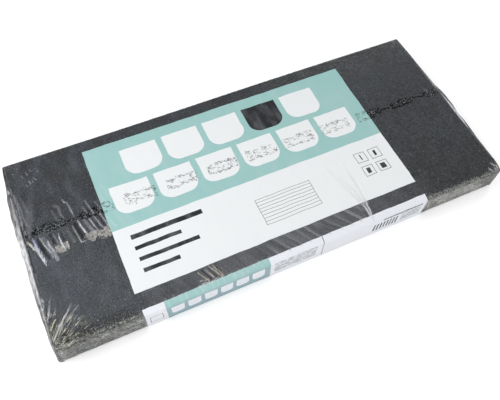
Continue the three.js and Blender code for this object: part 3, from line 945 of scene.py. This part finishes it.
STROKES = (
    # The milk of these folds is partly milky film and partly painted highlights and reflections; SHADE marks
    # painted shade
    # height and colour, then x, v, width (mm) and milkiness at each point of a fold
    # The bright fold nearest the left end, and the pockets below the sealant line
    (0, SHADE, (-486, 10, 4, 0.4), (-484, -10, 4, 0.5), (-481, -30, 4, 0.4)),
    (0, SHADE, (-474, 12, 6, 0.4), (-469, -15, 7, 0.5), (-462, -38, 5, 0.4)),
    (0.9, BLUE_HAZE_AND_SHEEN, (-483, 18, 3.4, 0.35), (-481, 4, 5.4, 0.7), (-479, -14, 5.4, 0.8),
     (-477, -22, 3, 0.4)),
    (0.9, HAZE, (-479.6, -4, 2.4, 0.7), (-478.4, -20, 3.4, 1.0), (-475, -35, 3.4, 1.0),
     (-471.4, -50, 2, 0.8)),
    (0.4, HAZE, (-476, -8, 1.9, 0.4), (-473.5, -25, 2.2, 0.7), (-470, -43, 1.9, 0.6)),
    (0.6, WARM_HAZE_AND_GLINT, (-494, 16, 2.2, 0.5), (-489, 4.6, 2.6, 0.9), (-484.4, -9, 2, 0.8)),
    (0.4, HAZE, (-490, 12, 2, 0.3), (-484, -4, 2, 0.5), (-480, -18, 1.8, 0.4)),
    (0.4, HAZE, (-470, 16, 2, 0.4), (-465, -4, 2.2, 0.55), (-459, -20, 2, 0.45), (-455.5, -38, 1.8, 0.4)),
    (0.8, HAZE, (-464, 12, 9, 0.12), (-456.5, -12, 11, 0.2), (-450.3, -33, 8, 0.3), (-448, -46, 6, 0.35)),
    (0.5, HAZE, (-457, 2, 2.4, 0.4), (-455.5, -12, 2.8, 0.65), (-450, -26, 2.4, 0.45)),
    (0, SHADE, (-449, 14, 6, 0.4), (-445.6, -8, 5, 0.5)),
    (0.7, HAZE, (-433.5, 10, 2, 0.4), (-433.3, -2, 2.6, 1.0), (-432.6, -14, 2.8, 1.0),
     (-430.3, -27, 2, 0.8)),
    (0, SHADE, (-428, 12, 5, 0.4), (-426, -8, 4, 0.5)),
    (0.3, HAZE, (-443, 14, 4, 0.12), (-438, -12, 5, 0.2)),
    (0.3, HAZE, (-421.5, -14, 2, 0.8), (-422, -31, 2, 0.7)),
    (0.3, HAZE, (-414, 14, 6, 0.06), (-408, -20, 8, 0.1)),
    (0.8, HAZE, (-390.5, 24, 2.4, 0.4), (-387, 8, 3.2, 1.0), (-383, -6, 3, 0.9), (-380, -15, 2, 0.6)),
    (0, SHADE, (-397, 18, 6, 0.5), (-391, -16, 7, 0.5)),
    (0.8, HAZE, (-403, 16, 2.4, 0.2), (-399, -8, 2.6, 0.45), (-396, -26, 2.4, 0.6)),
    (0.2, HAZE, (-396, -27, 2.4, 0.5), (-388, -27, 2.4, 0.4)),
    (0.5, HAZE, (-377, 20, 6, 0.16), (-367, -14, 8, 0.26)),
    (0, SHADE, (-372, 18, 4, 0.4), (-363, -8, 4, 0.4)),
    (0.5, HAZE, (-367.6, 18, 2.6, 0.5), (-362, -2, 3, 0.6), (-358, -14, 2.4, 0.4)),
    (0.5, HAZE, (-357, 20, 2.4, 0.3), (-350, -4, 2.8, 0.5), (-346, -13, 2.4, 0.4)),
    (0, SHADE, (-349, 20, 4, 0.4), (-342, -8, 4, 0.4)),
    (0.7, HAZE, (-343.6, 22, 3, 0.35), (-336, -12, 3.4, 0.5)),
    # Above the sealant line
    (0.5, HAZE, (-460.8, 124, 12, 0.02), (-473, 86, 15, 0.07), (-485, 40, 12, 0.1), (-487, 26, 6, 0.14)),
    (0.5, HAZE, (-424, 77, 7, 0.08), (-418, 70, 6, 0.14), (-418, 52, 4, 0.16), (-414, 40, 3, 0.2)),
    (0.3, HAZE, (-406, 85, 2.2, 0.3), (-403.5, 75.6, 2.6, 0.5), (-399, 73.6, 2.4, 0.3)),
    (0.5, HAZE, (-399, 72, 3.4, 0.2), (-396.8, 60, 4, 0.3), (-394.8, 44, 3.4, 0.3),
     (-393.8, 35, 2.5, 0.15)),
    (0.2, HAZE, (-432, 66, 6, 0.08), (-428, 44, 6, 0.1)),
    (0.5, HAZE, (-364, 64, 3, 0.15), (-359, 42, 4, 0.25), (-355, 27, 3.4, 0.25)),
    (0.3, HAZE, (-372, 50, 3, 0.15), (-367, 34, 3, 0.22)),
    (0.3, HAZE, (-346, 54, 3, 0.12), (-340, 34, 3, 0.2)),
    (0.3, HAZE, (-459, 180, 1.6, 0.3), (-456.7, 171, 1.6, 0.4)),
    (0.3, HAZE, (-458.3, 157, 1.6, 0.3), (-456, 148, 1.6, 0.4)),
    (0.3, HAZE, (-446.8, 161, 1.6, 0.25), (-441.8, 152, 1.6, 0.35)),
    (0.2, HAZE, (-451, 154, 1.6, 0.25), (-449.8, 149, 1.6, 0.3)),
    (0.2, HAZE, (-436, 176, 1.6, 0.2), (-433.7, 171, 1.6, 0.25)),
    # Painted shadow along the line where the film leaves the strips' left end
    (0, SHADE, (-499.5, 62, 2.2, 0.4), (-498.6, 34, 3.4, 0.9), (-497.4, 6, 3.4, 0.95),
     (-497, -17, 3.2, 0.9), (-497, -45, 2.8, 0.85), (-498, -80, 2.2, 0.6), (-498.4, -130, 2, 0.5)),
    (0.4, HAZE, (-503.7, 148, 3, 0.8), (-502, 141, 3, 0.7)),
    # Near left corner
    (1.0, HAZE, (-449.7, -144, 5, 0.10), (-461, -158.5, 4.5, 0.36), (-470.8, -167, 3, 0.5),
     (-479, -176, 2.2, 0.45), (-486, -182, 2, 0.3)),
    (0.5, HAZE, (-436.7, -152, 3, 0.2), (-447, -158.4, 3, 0.28), (-457, -164.5, 3, 0.1)),
    (0.8, HAZE, (-461.5, -158, 1.7, 0.3), (-474, -173, 1.9, 0.85), (-488.5, -189.5, 1.9, 0.95),
     (-496, -199.6, 1.7, 0.8)),
    (0.3, HAZE, (-459, -164, 1.6, 0.2), (-470, -176, 1.6, 0.45), (-485.4, -193, 1.6, 0.5)),
    (0.6, WARM_HAZE_AND_GLINT, (-483.4, -162, 2.2, 0.8), (-489.3, -168.7, 2.2, 1.0), (-496, -179.4, 1.7, 0.6)),
    (0.5, WARM_HAZE_AND_GLINT, (-471, -186, 1.9, 0.7), (-479.5, -193.5, 1.7, 0.7)),
    (0.6, HAZE, (-482.8, -119, 4, 0.10), (-489.8, -139.5, 4, 0.32), (-492.7, -149, 2.4, 0.8),
     (-497.6, -159, 2, 0.4)),
    (0.3, HAZE, (-499, -136, 2, 0.5), (-495, -117, 2, 0.4)),
    (0.3, HAZE, (-498, -112, 1.7, 0.5), (-496.5, -120, 1.7, 0.6)),
    # Over the left slot, and the fold that runs down the right slot
    (0, SHADE, (-201, -178, 4, 0.6), (-189, -204, 4, 0.7)),
    (0, SHADE, (-188, -176, 3.4, 0.6), (-178, -204, 3.4, 0.7)),
    (0, SHADE, (-172, -184, 4, 0.7), (-169, -204, 3.4, 0.7)),
    (0.5, PINK_HAZE, (-209, -181, 1.8, 0.7), (-195, -206, 1.8, 0.8)),
    (0.5, PINK_HAZE, (-211, -199, 2, 0.5), (-194, -202, 2, 0.6)),
    (0.5, PINK_HAZE, (-193, -182, 1.8, 0.6), (-184, -202, 1.8, 0.9)),
    (0.5, PINK_HAZE, (-185, -176, 1.8, 0.5), (-176, -192, 1.9, 0.9), (-168, -207, 1.8, 0.8)),
    (0.5, PINK_HAZE, (-177, -178, 1.8, 0.6), (-165, -206, 1.8, 0.9)),
    (0.6, HAZE, (-216, -208, 3, 0.3), (-204, -205, 3, 0.4), (-192, -209, 3, 0.3), (-180, -205, 3, 0.4),
     (-168, -209, 3, 0.2)),
    (0.4, HAZE, (171.5, -172, 12, 0.32), (171.5, -208, 8, 0.36)),
    (1.4, HAZE, (164, -150, 2.4, 0.15), (166, -172, 2.4, 0.9), (169, -200, 2.4, 0.95), (170, -222, 2, 0.5)),
    (1.2, HAZE, (178, -150, 2.2, 0.1), (177, -172, 2.4, 0.85), (174, -195, 2.2, 0.8), (172, -222, 2, 0.4)),
    (0.9, PAPER_SHADE, (137, -60, 7, 0), (156, -130, 8, 0.2), (164, -174, 5, 0.4)),
    (0.7, PAPER_SHADE, (152, -84, 5, 0), (168, -140, 5, 0.3), (171, -174, 4, 0.4)),
    (0.6, PAPER_SHADE, (179, -60, 5, 0), (179, -120, 6, 0.3), (177, -174, 4, 0.4)),
    (0.6, HAZE, (192, -110, 5, 0), (181, -176, 5, 0.1)),
    (0.5, WARM_HAZE_AND_GLINT, (128, -205, 2, 0.2), (150, -208, 2, 0.4), (160, -204, 2, 0.3)),
    # Painted reflections: pale streaks over the print at its left side
    (0.5, HAZE, (-331, 66, 3, 0.1), (-318, 20, 3.4, 0.3), (-306, -18, 3, 0.2)),
    (0.5, HAZE, (-322, 84, 3, 0.1), (-309, 44, 3.4, 0.3), (-298, 12, 3, 0.1)),
    (0.4, HAZE, (-333, 10, 3, 0.2), (-322, -22, 3, 0.3)),
    (0.4, HAZE, (-300, 66, 3, 0.1), (-290, 36, 3, 0.2)),
    # Painted sheen: streaks along the left edge above the sealant line
    (0.4, HAZE, (-498, 152, 2, 0.2), (-494, 108, 2.4, 0.3), (-492, 58, 2, 0.2)),
    (0.4, HAZE, (-493, 132, 3, 0.12), (-489, 92, 3, 0.2), (-487, 50, 2, 0.2)),
    (0.3, HAZE, (-497, 96, 1.8, 0.3), (-495, 52, 1.8, 0.4), (-492, 30, 1.8, 0.3)),
    (0.3, HAZE, (-483, 120, 4, 0.06), (-478, 84, 5, 0.1)),
    (0.2, HAZE, (-470, 176, 1.6, 0.25), (-467, 168, 1.6, 0.25)),
    (0.2, HAZE, (-452, 186, 1.6, 0.2), (-447, 178, 1.6, 0.25)),
    (0.2, HAZE, (-466, 150, 1.6, 0.2), (-462, 143, 1.6, 0.25)),
    # Right end: painted glints at the near corner, and a fold over the last dash
    (0.4, HAZE, (487.5, -197, 3.4, 0.3), (492.5, -205, 3.4, 0.6)),
    (0.4, WARM_HAZE_AND_GLINT, (496.5, -206, 3.6, 0.7), (497, -213, 3.4, 0.7)),
    (0.4, HAZE, (476, -205, 3, 0.3), (482, -213, 3.4, 0.45)),
    (0.3, HAZE, (489, -210, 2.4, 0.4), (494, -217, 2.4, 0.4)),
    (0.2, HAZE, (472, 43, 4, 0.4), (475, 37, 1.5, 0.2)),
)

# Dust trapped against the film below the sealant line
DUST_PATCHES = (
    ((-447.5, -17), (-440, -15), (-434, -19), (-430, -14), (-424, -13), (-421.5, -16), (-422.4, -23),
     (-423.7, -30), (-429.6, -33.5), (-438, -34), (-443.4, -29.5), (-448, -24)),
    ((-384.6, -15), (-379, -13.5), (-370, -11), (-358.5, -14), (-350, -17), (-345.5, -12), (-337, -11),
     (-334, -18), (-334, -31), (-336, -36), (-346.7, -36), (-353, -30), (-364, -26), (-368, -27),
     (-372, -35), (-379.6, -29), (-383.4, -21)),
)

# How hazy the film is along the near edge: (place along, share)
EDGE_HAZE = (
    (-345, 0), (-320, 0.03), (-250, 0.06), (-150, 0.085), (-90, 0.09), (-40, 0.06), (150, 0.06), (190, 0.06),
    (250, 0.05), (300, 0.03), (340, 0))
PLEAT_PITCH, PLEAT_HEIGHT = 24, 1
PLEAT_LEAN, PLEAT_LEANS_FROM = 0.62, -206

# How pale the film is round each short end, its grey standing for painted shade: (place across, tone)
LEFT_TONES = (
    (-218, 0.3), (-190, 0.22), (-167, 0.2), (-145, 0.26), (-120, 0.44), (-80, 0.6), (14, 0.54), (64, 0.3),
    (90, 0.2), (115, 0.14), (218, 0.1))
RIGHT_TONES = (
    (-218, 0.16), (-120, 0.12), (0, 0.09), (30, 0.11), (48, 0.28), (72, 0.3), (92, 0.14), (130, 0.06),
    (218, 0.04))
TONE_TINT = (0.99, 0.99, 1.02)

# Fans of short folds, milky film with painted glints: focus, lowest and highest direction in degrees, reach,
# count, height, milkiness, share of warm ones
FOLD_FANS = (
    ((-508, -224), (12, 100), 100, 80, 0.5, 0.75, 0.6),
    ((-506, 226), (-70, -20), 60, 8, 0.4, 0.3, 0.0),
    ((506, -224), (105, 165), 50, 12, 0.3, 0.4, 0.3),
    ((506, 226), (-160, -110), 50, 7, 0.4, 0.3, 0.0),
)
# Short creases over the near edge, below the left part of the panel and left of it: start, end, step
PANEL_CREASES = (-285, -75, 13)
MARGIN_CREASES = (-340, -240, 8)
# How high a dash lifts the film, and how far past the dash
DASH_LIFT, DASH_LIFT_MARGIN = 0.22, 4
# Ripples across the sleeve, soft everywhere: height, cell, seed
RIPPLES = (0.10, (14, 70), 11), (0.05, (6, 22), 12)
# How far from its line a fold can reach
STROKE_MARGIN = 12
# The haze along the near edge and the pleats in it: where each sets in, and where it ends
NEAR_HAZE_V = (-150, -176), (-224, -208)
PLEATED_X = (-75, -30), (168, 155)
PLEATED_V = (-166, -176), (-213, -205)


class Relief:
    """What lifts the film off its smooth shape or clouds it at places (x, v): milk, dust, painted highlights
    and shade.
    """

    def __init__(self, x, v):
        self.x, self.v = x, v
        self.height = np.zeros(x.shape)
        self.milk = np.zeros(x.shape)
        self.colour = np.broadcast_to(HAZE, x.shape + (3,)).copy()

    def noise(self, cell, seed):
        return value_noise(self.x, self.v, cell, seed)

    def cloud(self, amount, colour):
        """Lays haze of one colour over what is there already."""
        total = amount + self.milk * (1 - amount)
        share = np.divide(amount, total, out=np.zeros(total.shape), where=total > 0)
        self.colour += share[..., None] * (colour - self.colour)
        self.milk = total

    def stroke(self, height, colour, *points):
        """A fold along a line of (x, v, width, milkiness) points, fading out past its ends."""
        points = np.array(points, float)
        low, high = points.min(0) - STROKE_MARGIN, points.max(0) + STROKE_MARGIN
        near = (self.x > low[0]) & (self.x < high[0]) & (self.v > low[1]) & (self.v < high[1])
        if not near.any():
            return
        x, v = self.x[near], self.v[near]
        x = x + 0.5 * value_noise(x, v, 6, 61)
        nearest, width, milk = np.full(x.shape, np.inf), np.ones(x.shape), np.zeros(x.shape)
        for start, way in zip(points, np.diff(points, axis=0)):
            share = np.clip(((x - start[0]) * way[0] + (v - start[1]) * way[1]) / (way[:2] @ way[:2]), 0, 1)
            on_line = start[:, None] + way[:, None] * share
            distance = np.hypot(x - on_line[0], v - on_line[1])
            found = distance, *on_line[2:]
            nearest, width, milk = np.where(distance < nearest, found, (nearest, width, milk))
        crest = smooth_step(width * 0.75, width * 0.2, nearest)
        self.height[near] += height * crest
        amount = np.zeros(self.x.shape)
        amount[near] = np.clip(milk * crest * (0.92 + 0.3 * value_noise(x, v, 5, 62)), 0, 1)
        self.cloud(amount, colour)

    def patch(self, corners, seed):
        """Dust inside a ragged outline."""
        x, v = self.x + 2.2 * self.noise(4, seed), self.v + 2.2 * self.noise(4, seed + 1)
        inside = np.zeros(x.shape, bool)
        for (x_0, v_0), (x_1, v_1) in zip(corners, corners[1:] + corners[:1]):
            if v_0 != v_1:
                crosses = (v_0 > v) != (v_1 > v)
                inside ^= crosses & (x < x_0 + (v - v_0) * (x_1 - x_0) / (v_1 - v_0))
        self.cloud(inside * np.clip(0.6 + 0.4 * self.noise(3, seed + 2), 0.1, 1), DUST)


def add_folds(relief):
    """Every fold in the film: chosen ones, fans at the corners, creases, dashes and ripples."""
    rng = np.random.default_rng(5)
    add_end_tones(relief)
    add_pleats(relief)
    for number, corners in enumerate(DUST_PATCHES):
        relief.patch(corners, 70 + number)
    for height, colour, *points in STROKES:
        relief.stroke(height, colour, *points)
    for focus, angles, reach, count, height, milky, warm in FOLD_FANS:
        for _ in range(count):
            angle = math.radians(rng.uniform(*angles))
            near = rng.uniform(0.2, 0.85) * reach
            far = near + rng.uniform(0.06, 0.22) * reach
            width, milk = rng.uniform(1.2, 2.0), milky * rng.uniform(0.2, 1.0)
            x, v = math.cos(angle), math.sin(angle)
            relief.stroke(
                height * rng.uniform(0.3, 1.2), WARM_HAZE_AND_GLINT if rng.random() < warm else HAZE,
                (focus[0] + x * near, focus[1] + v * near, width, milk),
                (focus[0] + x * far, focus[1] + v * far, width * 0.6, milk * 0.3))

    for x in np.arange(*PANEL_CREASES):
        x, lean = x + rng.uniform(-5, 5), rng.uniform(-2, 5)
        bright = rng.uniform(0.2, 0.45)
        relief.stroke(0.4, HAZE, (x, -205, 3, 0.15), (x + lean, -214, 3, bright), (x + lean, -228, 2, 0))
    for x in np.arange(*MARGIN_CREASES):
        x, v = x + rng.uniform(-3, 3), -212 + rng.uniform(-3, 3)
        height = rng.uniform(0.2, 0.5)
        end = x + rng.uniform(3, 9), v + rng.uniform(8, 20)
        relief.stroke(height, HAZE, (x, v, 2.5, 0.12), (*end, 2, 0))

    x, from_line = relief.x, np.abs(relief.v - SEALANT_Y)
    over_v = smooth_step(DASH_WIDTH / 2 + DASH_LIFT_MARGIN, DASH_WIDTH / 2, from_line)
    for start, end in dash_spans():
        over_x = smooth_window((start - DASH_LIFT_MARGIN, start), (end + DASH_LIFT_MARGIN, end), x)
        relief.height += DASH_LIFT * over_x * over_v

    for height, cell, seed in RIPPLES:
        relief.height += height * relief.noise(cell, seed)


def add_end_tones(relief):
    """Past the strips' ends the film is milky and painted grey as shade, streaked along the edge."""
    streaks, crumpled = relief.noise((2.6, 60), 13), relief.noise((3, 7), 14)
    for side, tones in ((-1, LEFT_TONES), (1, RIGHT_TONES)):
        past = smooth_step(-2.5, 2, side * relief.x - HALF_LENGTH)
        tone = along_table(relief.v, tones)
        tone = np.clip(tone * (1 + 0.55 * streaks + 0.5 * crumpled), 0.02, 0.85)
        relief.cloud(past * 0.86, tone[..., None] * np.array(TONE_TINT))
        relief.height += past * 0.5 * streaks


def add_pleats(relief):
    """Haze and slanted pleats across the near edge, between the panel and the band; each pleat has
    painted sheen that falls off into painted shade at its fold.
    """
    x, v = relief.x, relief.v
    leaning = x + PLEAT_LEAN * (v - PLEAT_LEANS_FROM) + 9 * relief.noise((55, 45), 21)
    streaks = value_noise(leaning, v, (5, 40), 22)
    haze = smooth_window(*NEAR_HAZE_V, v) * along_table(x, EDGE_HAZE)
    relief.cloud(haze * (1 + 0.5 * streaks), HAZE)

    pleated = smooth_window(*PLEATED_X, x) * smooth_window(*PLEATED_V, v)
    turn = leaning / PLEAT_PITCH
    past_fold = turn - np.floor(turn)
    sheen = (1 - past_fold) ** 1.5 * (0.8 + 0.7 * streaks)
    relief.cloud(pleated * np.clip(0.22 * sheen, 0, 1), HAZE)
    relief.cloud(pleated * 0.6 * smooth_step(0.14, 0.02, 1 - past_fold), SHADE)
    relief.height += pleated * PLEAT_HEIGHT * (1 - past_fold) * smooth_step(0, 0.12, past_fold)


class Sleeve:
    """The film's smooth shape: rings round the stack, each point at a place v round the ring."""

    def __init__(self):
        _, strip_top, self.droop = strip_levels(STRIPS[-1])
        self.top, self.bottom, self.half_width = strip_top + FILM_OVER_STRIP, FILM_LOW[2], FILM_HIGH[1]
        self.middle = (self.top + self.bottom) / 2
        self.outline = rounded_ring(self.half_width, self.bottom, self.top, FILM_FOLD_RADIUS)
        self.opening = rounded_ring(
            OPENING_HALF_WIDTH, self.middle - OPENING_HALF_HEIGHT, self.middle + OPENING_HALF_HEIGHT,
            OPENING_HALF_HEIGHT)
        self.girth = np.hypot(*np.diff(self.outline)).sum()

    def ring_places(self, wall_step, top_step, *top_steps):
        """Places round a ring: coarse underneath, fine round the folded edges."""
        arc = FILM_FOLD_RADIUS * math.pi / 2
        flat = self.half_width - FILM_FOLD_RADIUS
        edge = flat + arc
        low = edge + self.top - self.bottom - 2 * FILM_FOLD_RADIUS
        return stepped([
            (-self.girth / 2, UNDER_STEP), (-low - arc, EDGE_FOLD_STEP), (-low, wall_step),
            (-edge, EDGE_FOLD_STEP), (-flat, top_step), *top_steps, (flat, EDGE_FOLD_STEP),
            (edge, FAR_WALL_STEP), (low, EDGE_FOLD_STEP), (low + arc, UNDER_STEP), (self.girth / 2, None)])

    def ring(self, v, outline=None):
        return along_ring(self.outline if outline is None else outline, v / self.girth + 0.5)

    def end_rings(self, side, v, seed):
        """Rings from the sleeve's straight part round the end and in to the opening."""
        ring_y, ring_z = self.ring(v)
        open_y, open_z = self.ring(v, self.opening)
        inset = self.half_width - np.abs(ring_y)
        loose = smooth_step(0, END_TIGHT_MARGIN, inset)
        bulge = along_table(ring_y, LEFT_LIP if side < 0 else RIGHT_LIP)
        bulge = bulge + LIP_WANDER * loose * value_noise(ring_y, ring_z, LIP_WAVE, seed)
        if side < 0:
            low_down = smooth_step(self.top, self.bottom, ring_z)
            bulge = bulge + LOW_CORNER_OUT * low_down * smooth_step(*LOW_CORNER_Y, ring_y)
        at_corner = 1 - smooth_step(0, STRIP_CORNER_RADIUS, inset)
        turn_start = FILM_END - CORNER_FOLLOWED[side] * STRIP_CORNER_RADIUS * at_corner
        rounding = END_CORNER_ROUNDING + (END_ROUNDING - END_CORNER_ROUNDING) * loose
        upper = np.where(ring_z > self.middle, 1.0, -1.0)
        on_flat = np.clip(inset / FILM_FOLD_RADIUS, 0, 1)
        rings = [
            (BODY_END + (turn_start - BODY_END) * step / SIDE_RINGS, ring_y, ring_z)
            for step in range(1, SIDE_RINGS + 1)]
        for step in range(1, TURN_RINGS + 1):
            angle = step / TURN_RINGS * math.pi / 2
            drawn = 1 - math.cos(angle)
            rings.append((
                turn_start + (FILM_END + bulge - turn_start) * math.sin(angle),
                ring_y * (1 - END_NARROWS * drawn / self.half_width),
                ring_z - upper * rounding * drawn * on_flat))
        edge_x, edge_y, edge_z = rings[-1]
        pleats = 1 - np.abs(value_noise(v / self.girth * END_PLEATS, 0, 1, seed + 1)) ** 0.7
        for step in range(1, OPENING_RINGS + 1):
            share = step / OPENING_RINGS
            x = edge_x + (FILM_END + OPENING_STAND_OFF - edge_x) * share ** 1.3
            x = x + END_PLEAT_DEPTH * pleats * math.sin(math.pi * min(share * 0.75, 0.5))
            rings.append((x, edge_y + (open_y - edge_y) * share, edge_z + (open_z - edge_z) * share))
        return np.array([np.stack([side * x, y, z], 1) for x, y, z in rings])

    def body_rings(self, v, body_x):
        return np.array([np.stack(np.broadcast_arrays(x, *self.ring(v)), 1) for x in body_x])

    def settle(self, points):
        """Bends the long edges down with the strips, the less the lower they are."""
        x, y, z = np.moveaxis(points, -1, 0)
        z -= self.droop * settle_share(x, y) * z / self.top

    def normals(self, v):
        ring_y, ring_z = self.ring(v)
        normal_y, normal_z = -np.gradient(ring_z, v), np.gradient(ring_y, v)
        norm = np.hypot(normal_y, normal_z)
        return normal_y / norm, normal_z / norm


def laid_flat(points, end_count, side):
    """Each point's x with the film laid flat: round the end it is walked on from the last ring
    of the straight part."""
    outwards = points[::side]
    flat_x = outwards[..., 0].copy()
    body_count = len(points) - end_count
    steps = np.linalg.norm(np.diff(outwards[body_count - 1:], axis=0), axis=2)
    flat_x[body_count:] = flat_x[body_count - 1] + side * np.cumsum(steps, axis=0)
    return flat_x[::side]


def zip_rings(low_v, high_v):
    """Triangles between two rings with different numbers of points, as (ring, spot) corners."""
    triangles, low, high = [], 0, 0
    while low < len(low_v) - 1 or high < len(high_v) - 1:
        if high == len(high_v) - 1 or (low < len(low_v) - 1 and low_v[low + 1] <= high_v[high + 1]):
            triangles.append(((0, low), (1, high), (0, low + 1)))
            low += 1
        else:
            triangles.append(((0, low), (1, high), (1, high + 1)))
            high += 1
    return triangles


def shrink_film(material):
    """The sleeve: a tight skin over the stack that bulges past both short ends and draws in
    there round an oval opening."""
    sleeve = Sleeve()
    fine_v, coarse_v = sleeve.ring_places(*LEFT_STEPS), sleeve.ring_places(*RIGHT_STEPS)
    left_end, right_end = sleeve.end_rings(-1, fine_v, 41), sleeve.end_rings(1, coarse_v, 51)
    margin_x = places([-BODY_END, LEFT_MARGIN_END], LEFT_MARGIN_STEP)
    left = np.concatenate([left_end[::-1], sleeve.body_rings(fine_v, margin_x)])
    right = np.concatenate([sleeve.body_rings(coarse_v, stepped(BODY_STEPS)), right_end])

    vertices, clouds, faces, corner_places, seams = [], [], [], [], []
    offset = 0
    for points, v, side in ((left, fine_v, -1), (right, coarse_v, 1)):
        sleeve.settle(points)
        flat_x = laid_flat(points, len(left_end), side)
        relief = Relief(flat_x, np.broadcast_to(v, flat_x.shape))
        add_folds(relief)
        normal_y, normal_z = sleeve.normals(v)
        points[..., 1] += relief.height * normal_y
        points[..., 2] += relief.height * normal_z
        cloud = np.concatenate([relief.colour, relief.milk[..., None]], -1)
        vertices.append(points[:, :-1].reshape(-1, 3))
        clouds.append(cloud[:, :-1].reshape(-1, 4))

        count = len(v) - 1
        ring, spot = (values.ravel() for values in np.indices((len(points) - 1, count)))
        start, following = offset + ring * count, (spot + 1) % count
        faces += np.stack(
            [start + spot, start + count + spot, start + count + following, start + following], 1).tolist()
        corner_places.append(np.stack([
            (flat_x[ring + further, spot + past], v[spot + past])
            for further, past in ((0, 0), (1, 0), (1, 1), (0, 1))]).transpose(2, 0, 1).reshape(-1, 2))
        seam_ring = len(points) - 1 if side < 0 else 0
        seams.append((offset + seam_ring * count, count, flat_x[seam_ring], v))
        offset += len(vertices[-1])

    # The left margin's last ring has more points than the next one
    for triangle in zip_rings(fine_v, coarse_v):
        corners = [(*seams[side], spot) for side, spot in triangle]
        faces.append([start + spot % count for start, count, _, _, spot in corners])
        corner_places.append(np.array([(flat_x[spot], v[spot]) for _, _, flat_x, v, spot in corners]))

    piece = mesh_object("shrink_film", np.concatenate(vertices), faces, [material], smooth_faces=True)
    layer = piece.data.uv_layers.new(name="film")
    layer.uv.foreach_set("vector", (np.concatenate(corner_places) * MM).astype(np.float32).ravel())
    attribute = piece.data.attributes.new("milk", "FLOAT_COLOR", "POINT")
    attribute.data.foreach_set("color", np.concatenate(clouds).astype(np.float32).ravel())
    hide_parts("wrap_film")
    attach(piece, "root")


# ---- stage, in metres -----------------------------------------------------------------------

CAMERA_PLACE = Vector((-0.3299, -0.5987, 1.0770))
CAMERA_LOOKS_AT = Vector((-0.0384, -0.0548, 0.0360))
CAMERA_ROLL = math.radians(4.2025)
CAMERA_LENS, CAMERA_SENSOR = 40.10, 36
CAMERA_SEES = 50
LAMPS_LOOK_AT = Vector((0, 0, 0.04))
SOFTBOXES = (
    # name, place, size, radiance, tint
    ("left_key", (-1.6, 0.35, 1.7), 1.1, 6.6, (1, 1, 1)),
    ("right_rim", (2.2, 1.1, 0.8), 1.0, 5.0, (1, 1, 1)),
    ("front_fill", (-0.1, -2.0, 1.3), 1.1, 3.8, (1, 1, 1)),
    ("sheen", (-0.65, 0.72, 1.9), 0.65, 1.15, (0.8, 0.9, 1.0)),
)
FLOOR_HALF, FLOOR_DEPTH = 30, 0.0003
FLOOR_COLOURS = (0.80, 0.80, 0.80), (0.84, 0.84, 0.84)
# How brightly the floor glows where it is seen: from 1 m out to 4 m, from 0.42 to 1
FLOOR_GLOW = (1 / MM, 4 / MM, 0.42, 1)
# The background's strength as a source of light, to the camera, and to anything glossy
WORLD_LIGHT, WORLD_SEEN, WORLD_MIRRORED = 0.46, 1, 0.15


def add_camera():
    data = bpy.data.cameras.new("camera")
    data.lens = CAMERA_LENS
    data.sensor_width = CAMERA_SENSOR
    data.clip_end = CAMERA_SEES
    camera = link_object("camera", data)
    aim = (CAMERA_LOOKS_AT - CAMERA_PLACE).to_track_quat("-Z", "Y").to_matrix().to_4x4()
    camera.matrix_world = Matrix.Translation(CAMERA_PLACE) @ aim @ Matrix.Rotation(CAMERA_ROLL, 4, "Z")
    bpy.context.scene.camera = camera


def add_softbox(name, place, size, radiance, tint):
    """A square area lamp whose face has the given radiance."""
    data = bpy.data.lights.new(name, "AREA")
    data.shape = "SQUARE"
    data.size = size
    data.energy = radiance * math.pi * size * size
    data.color = tint
    lamp = link_object(name, data)
    lamp.location = place
    lamp.rotation_euler = (LAMPS_LOOK_AT - Vector(place)).to_track_quat("-Z", "Y").to_euler()


def add_floor():
    """A matte white floor that glows for camera, mirror and transmission rays only."""
    g = Graph(bpy.data.materials.new("floor"))
    place = g.place()
    seen = g.add("ShaderNodeLightPath", {}, "Is Camera Ray")
    seen = seen | seen.other("Is Glossy Ray") | seen.other("Is Transmission Ray")
    glow = g.vector("LENGTH", place, output="Value").ramp(*FLOOR_GLOW)
    lift = g.add("ShaderNodeEmission", {"Color": (1, 1, 1), "Strength": seen * glow})
    matte = g.diffuse(g.mix(g.noise(place, 25, 3), *FLOOR_COLOURS))
    both = g.add("ShaderNodeAddShader", {0: matte, 1: lift})
    half, under = FLOOR_HALF / MM, -FLOOR_DEPTH / MM
    corners = [(x * half, y * half, under) for x, y in ((-1, -1), (1, -1), (1, 1), (-1, 1))]
    floor = mesh_object("floor", corners, [(0, 1, 2, 3)], [g.finish(both)])


def add_world():
    """White to the camera, softer as a source of light, and a dim ceiling to anything glossy."""
    world = bpy.data.worlds.new("studio")
    bpy.context.scene.world = world
    g = Graph(world, "ShaderNodeOutputWorld")
    camera_ray = g.add("ShaderNodeLightPath", {}, "Is Camera Ray")
    strength = camera_ray.ramp(0, 1, WORLD_LIGHT, WORLD_SEEN, "LINEAR")
    strength = camera_ray.other("Is Glossy Ray").ramp(0, 1, strength, WORLD_MIRRORED, "LINEAR")
    g.finish(g.add("ShaderNodeBackground", {"Color": (1, 1, 1), "Strength": strength}))


# ---- build ----------------------------------------------------------------------------------

strip_materials = [granule_material(), sealant_material()]
for number in range(len(STRIPS)):
    strip(number, strip_materials)
loose_granules(loose_grain_material())
shrink_film(film_material())

add_camera()
add_floor()
add_world()
for softbox in SOFTBOXES:
    add_softbox(*softbox)
bpy.context.scene.view_settings.view_transform = "Standard"
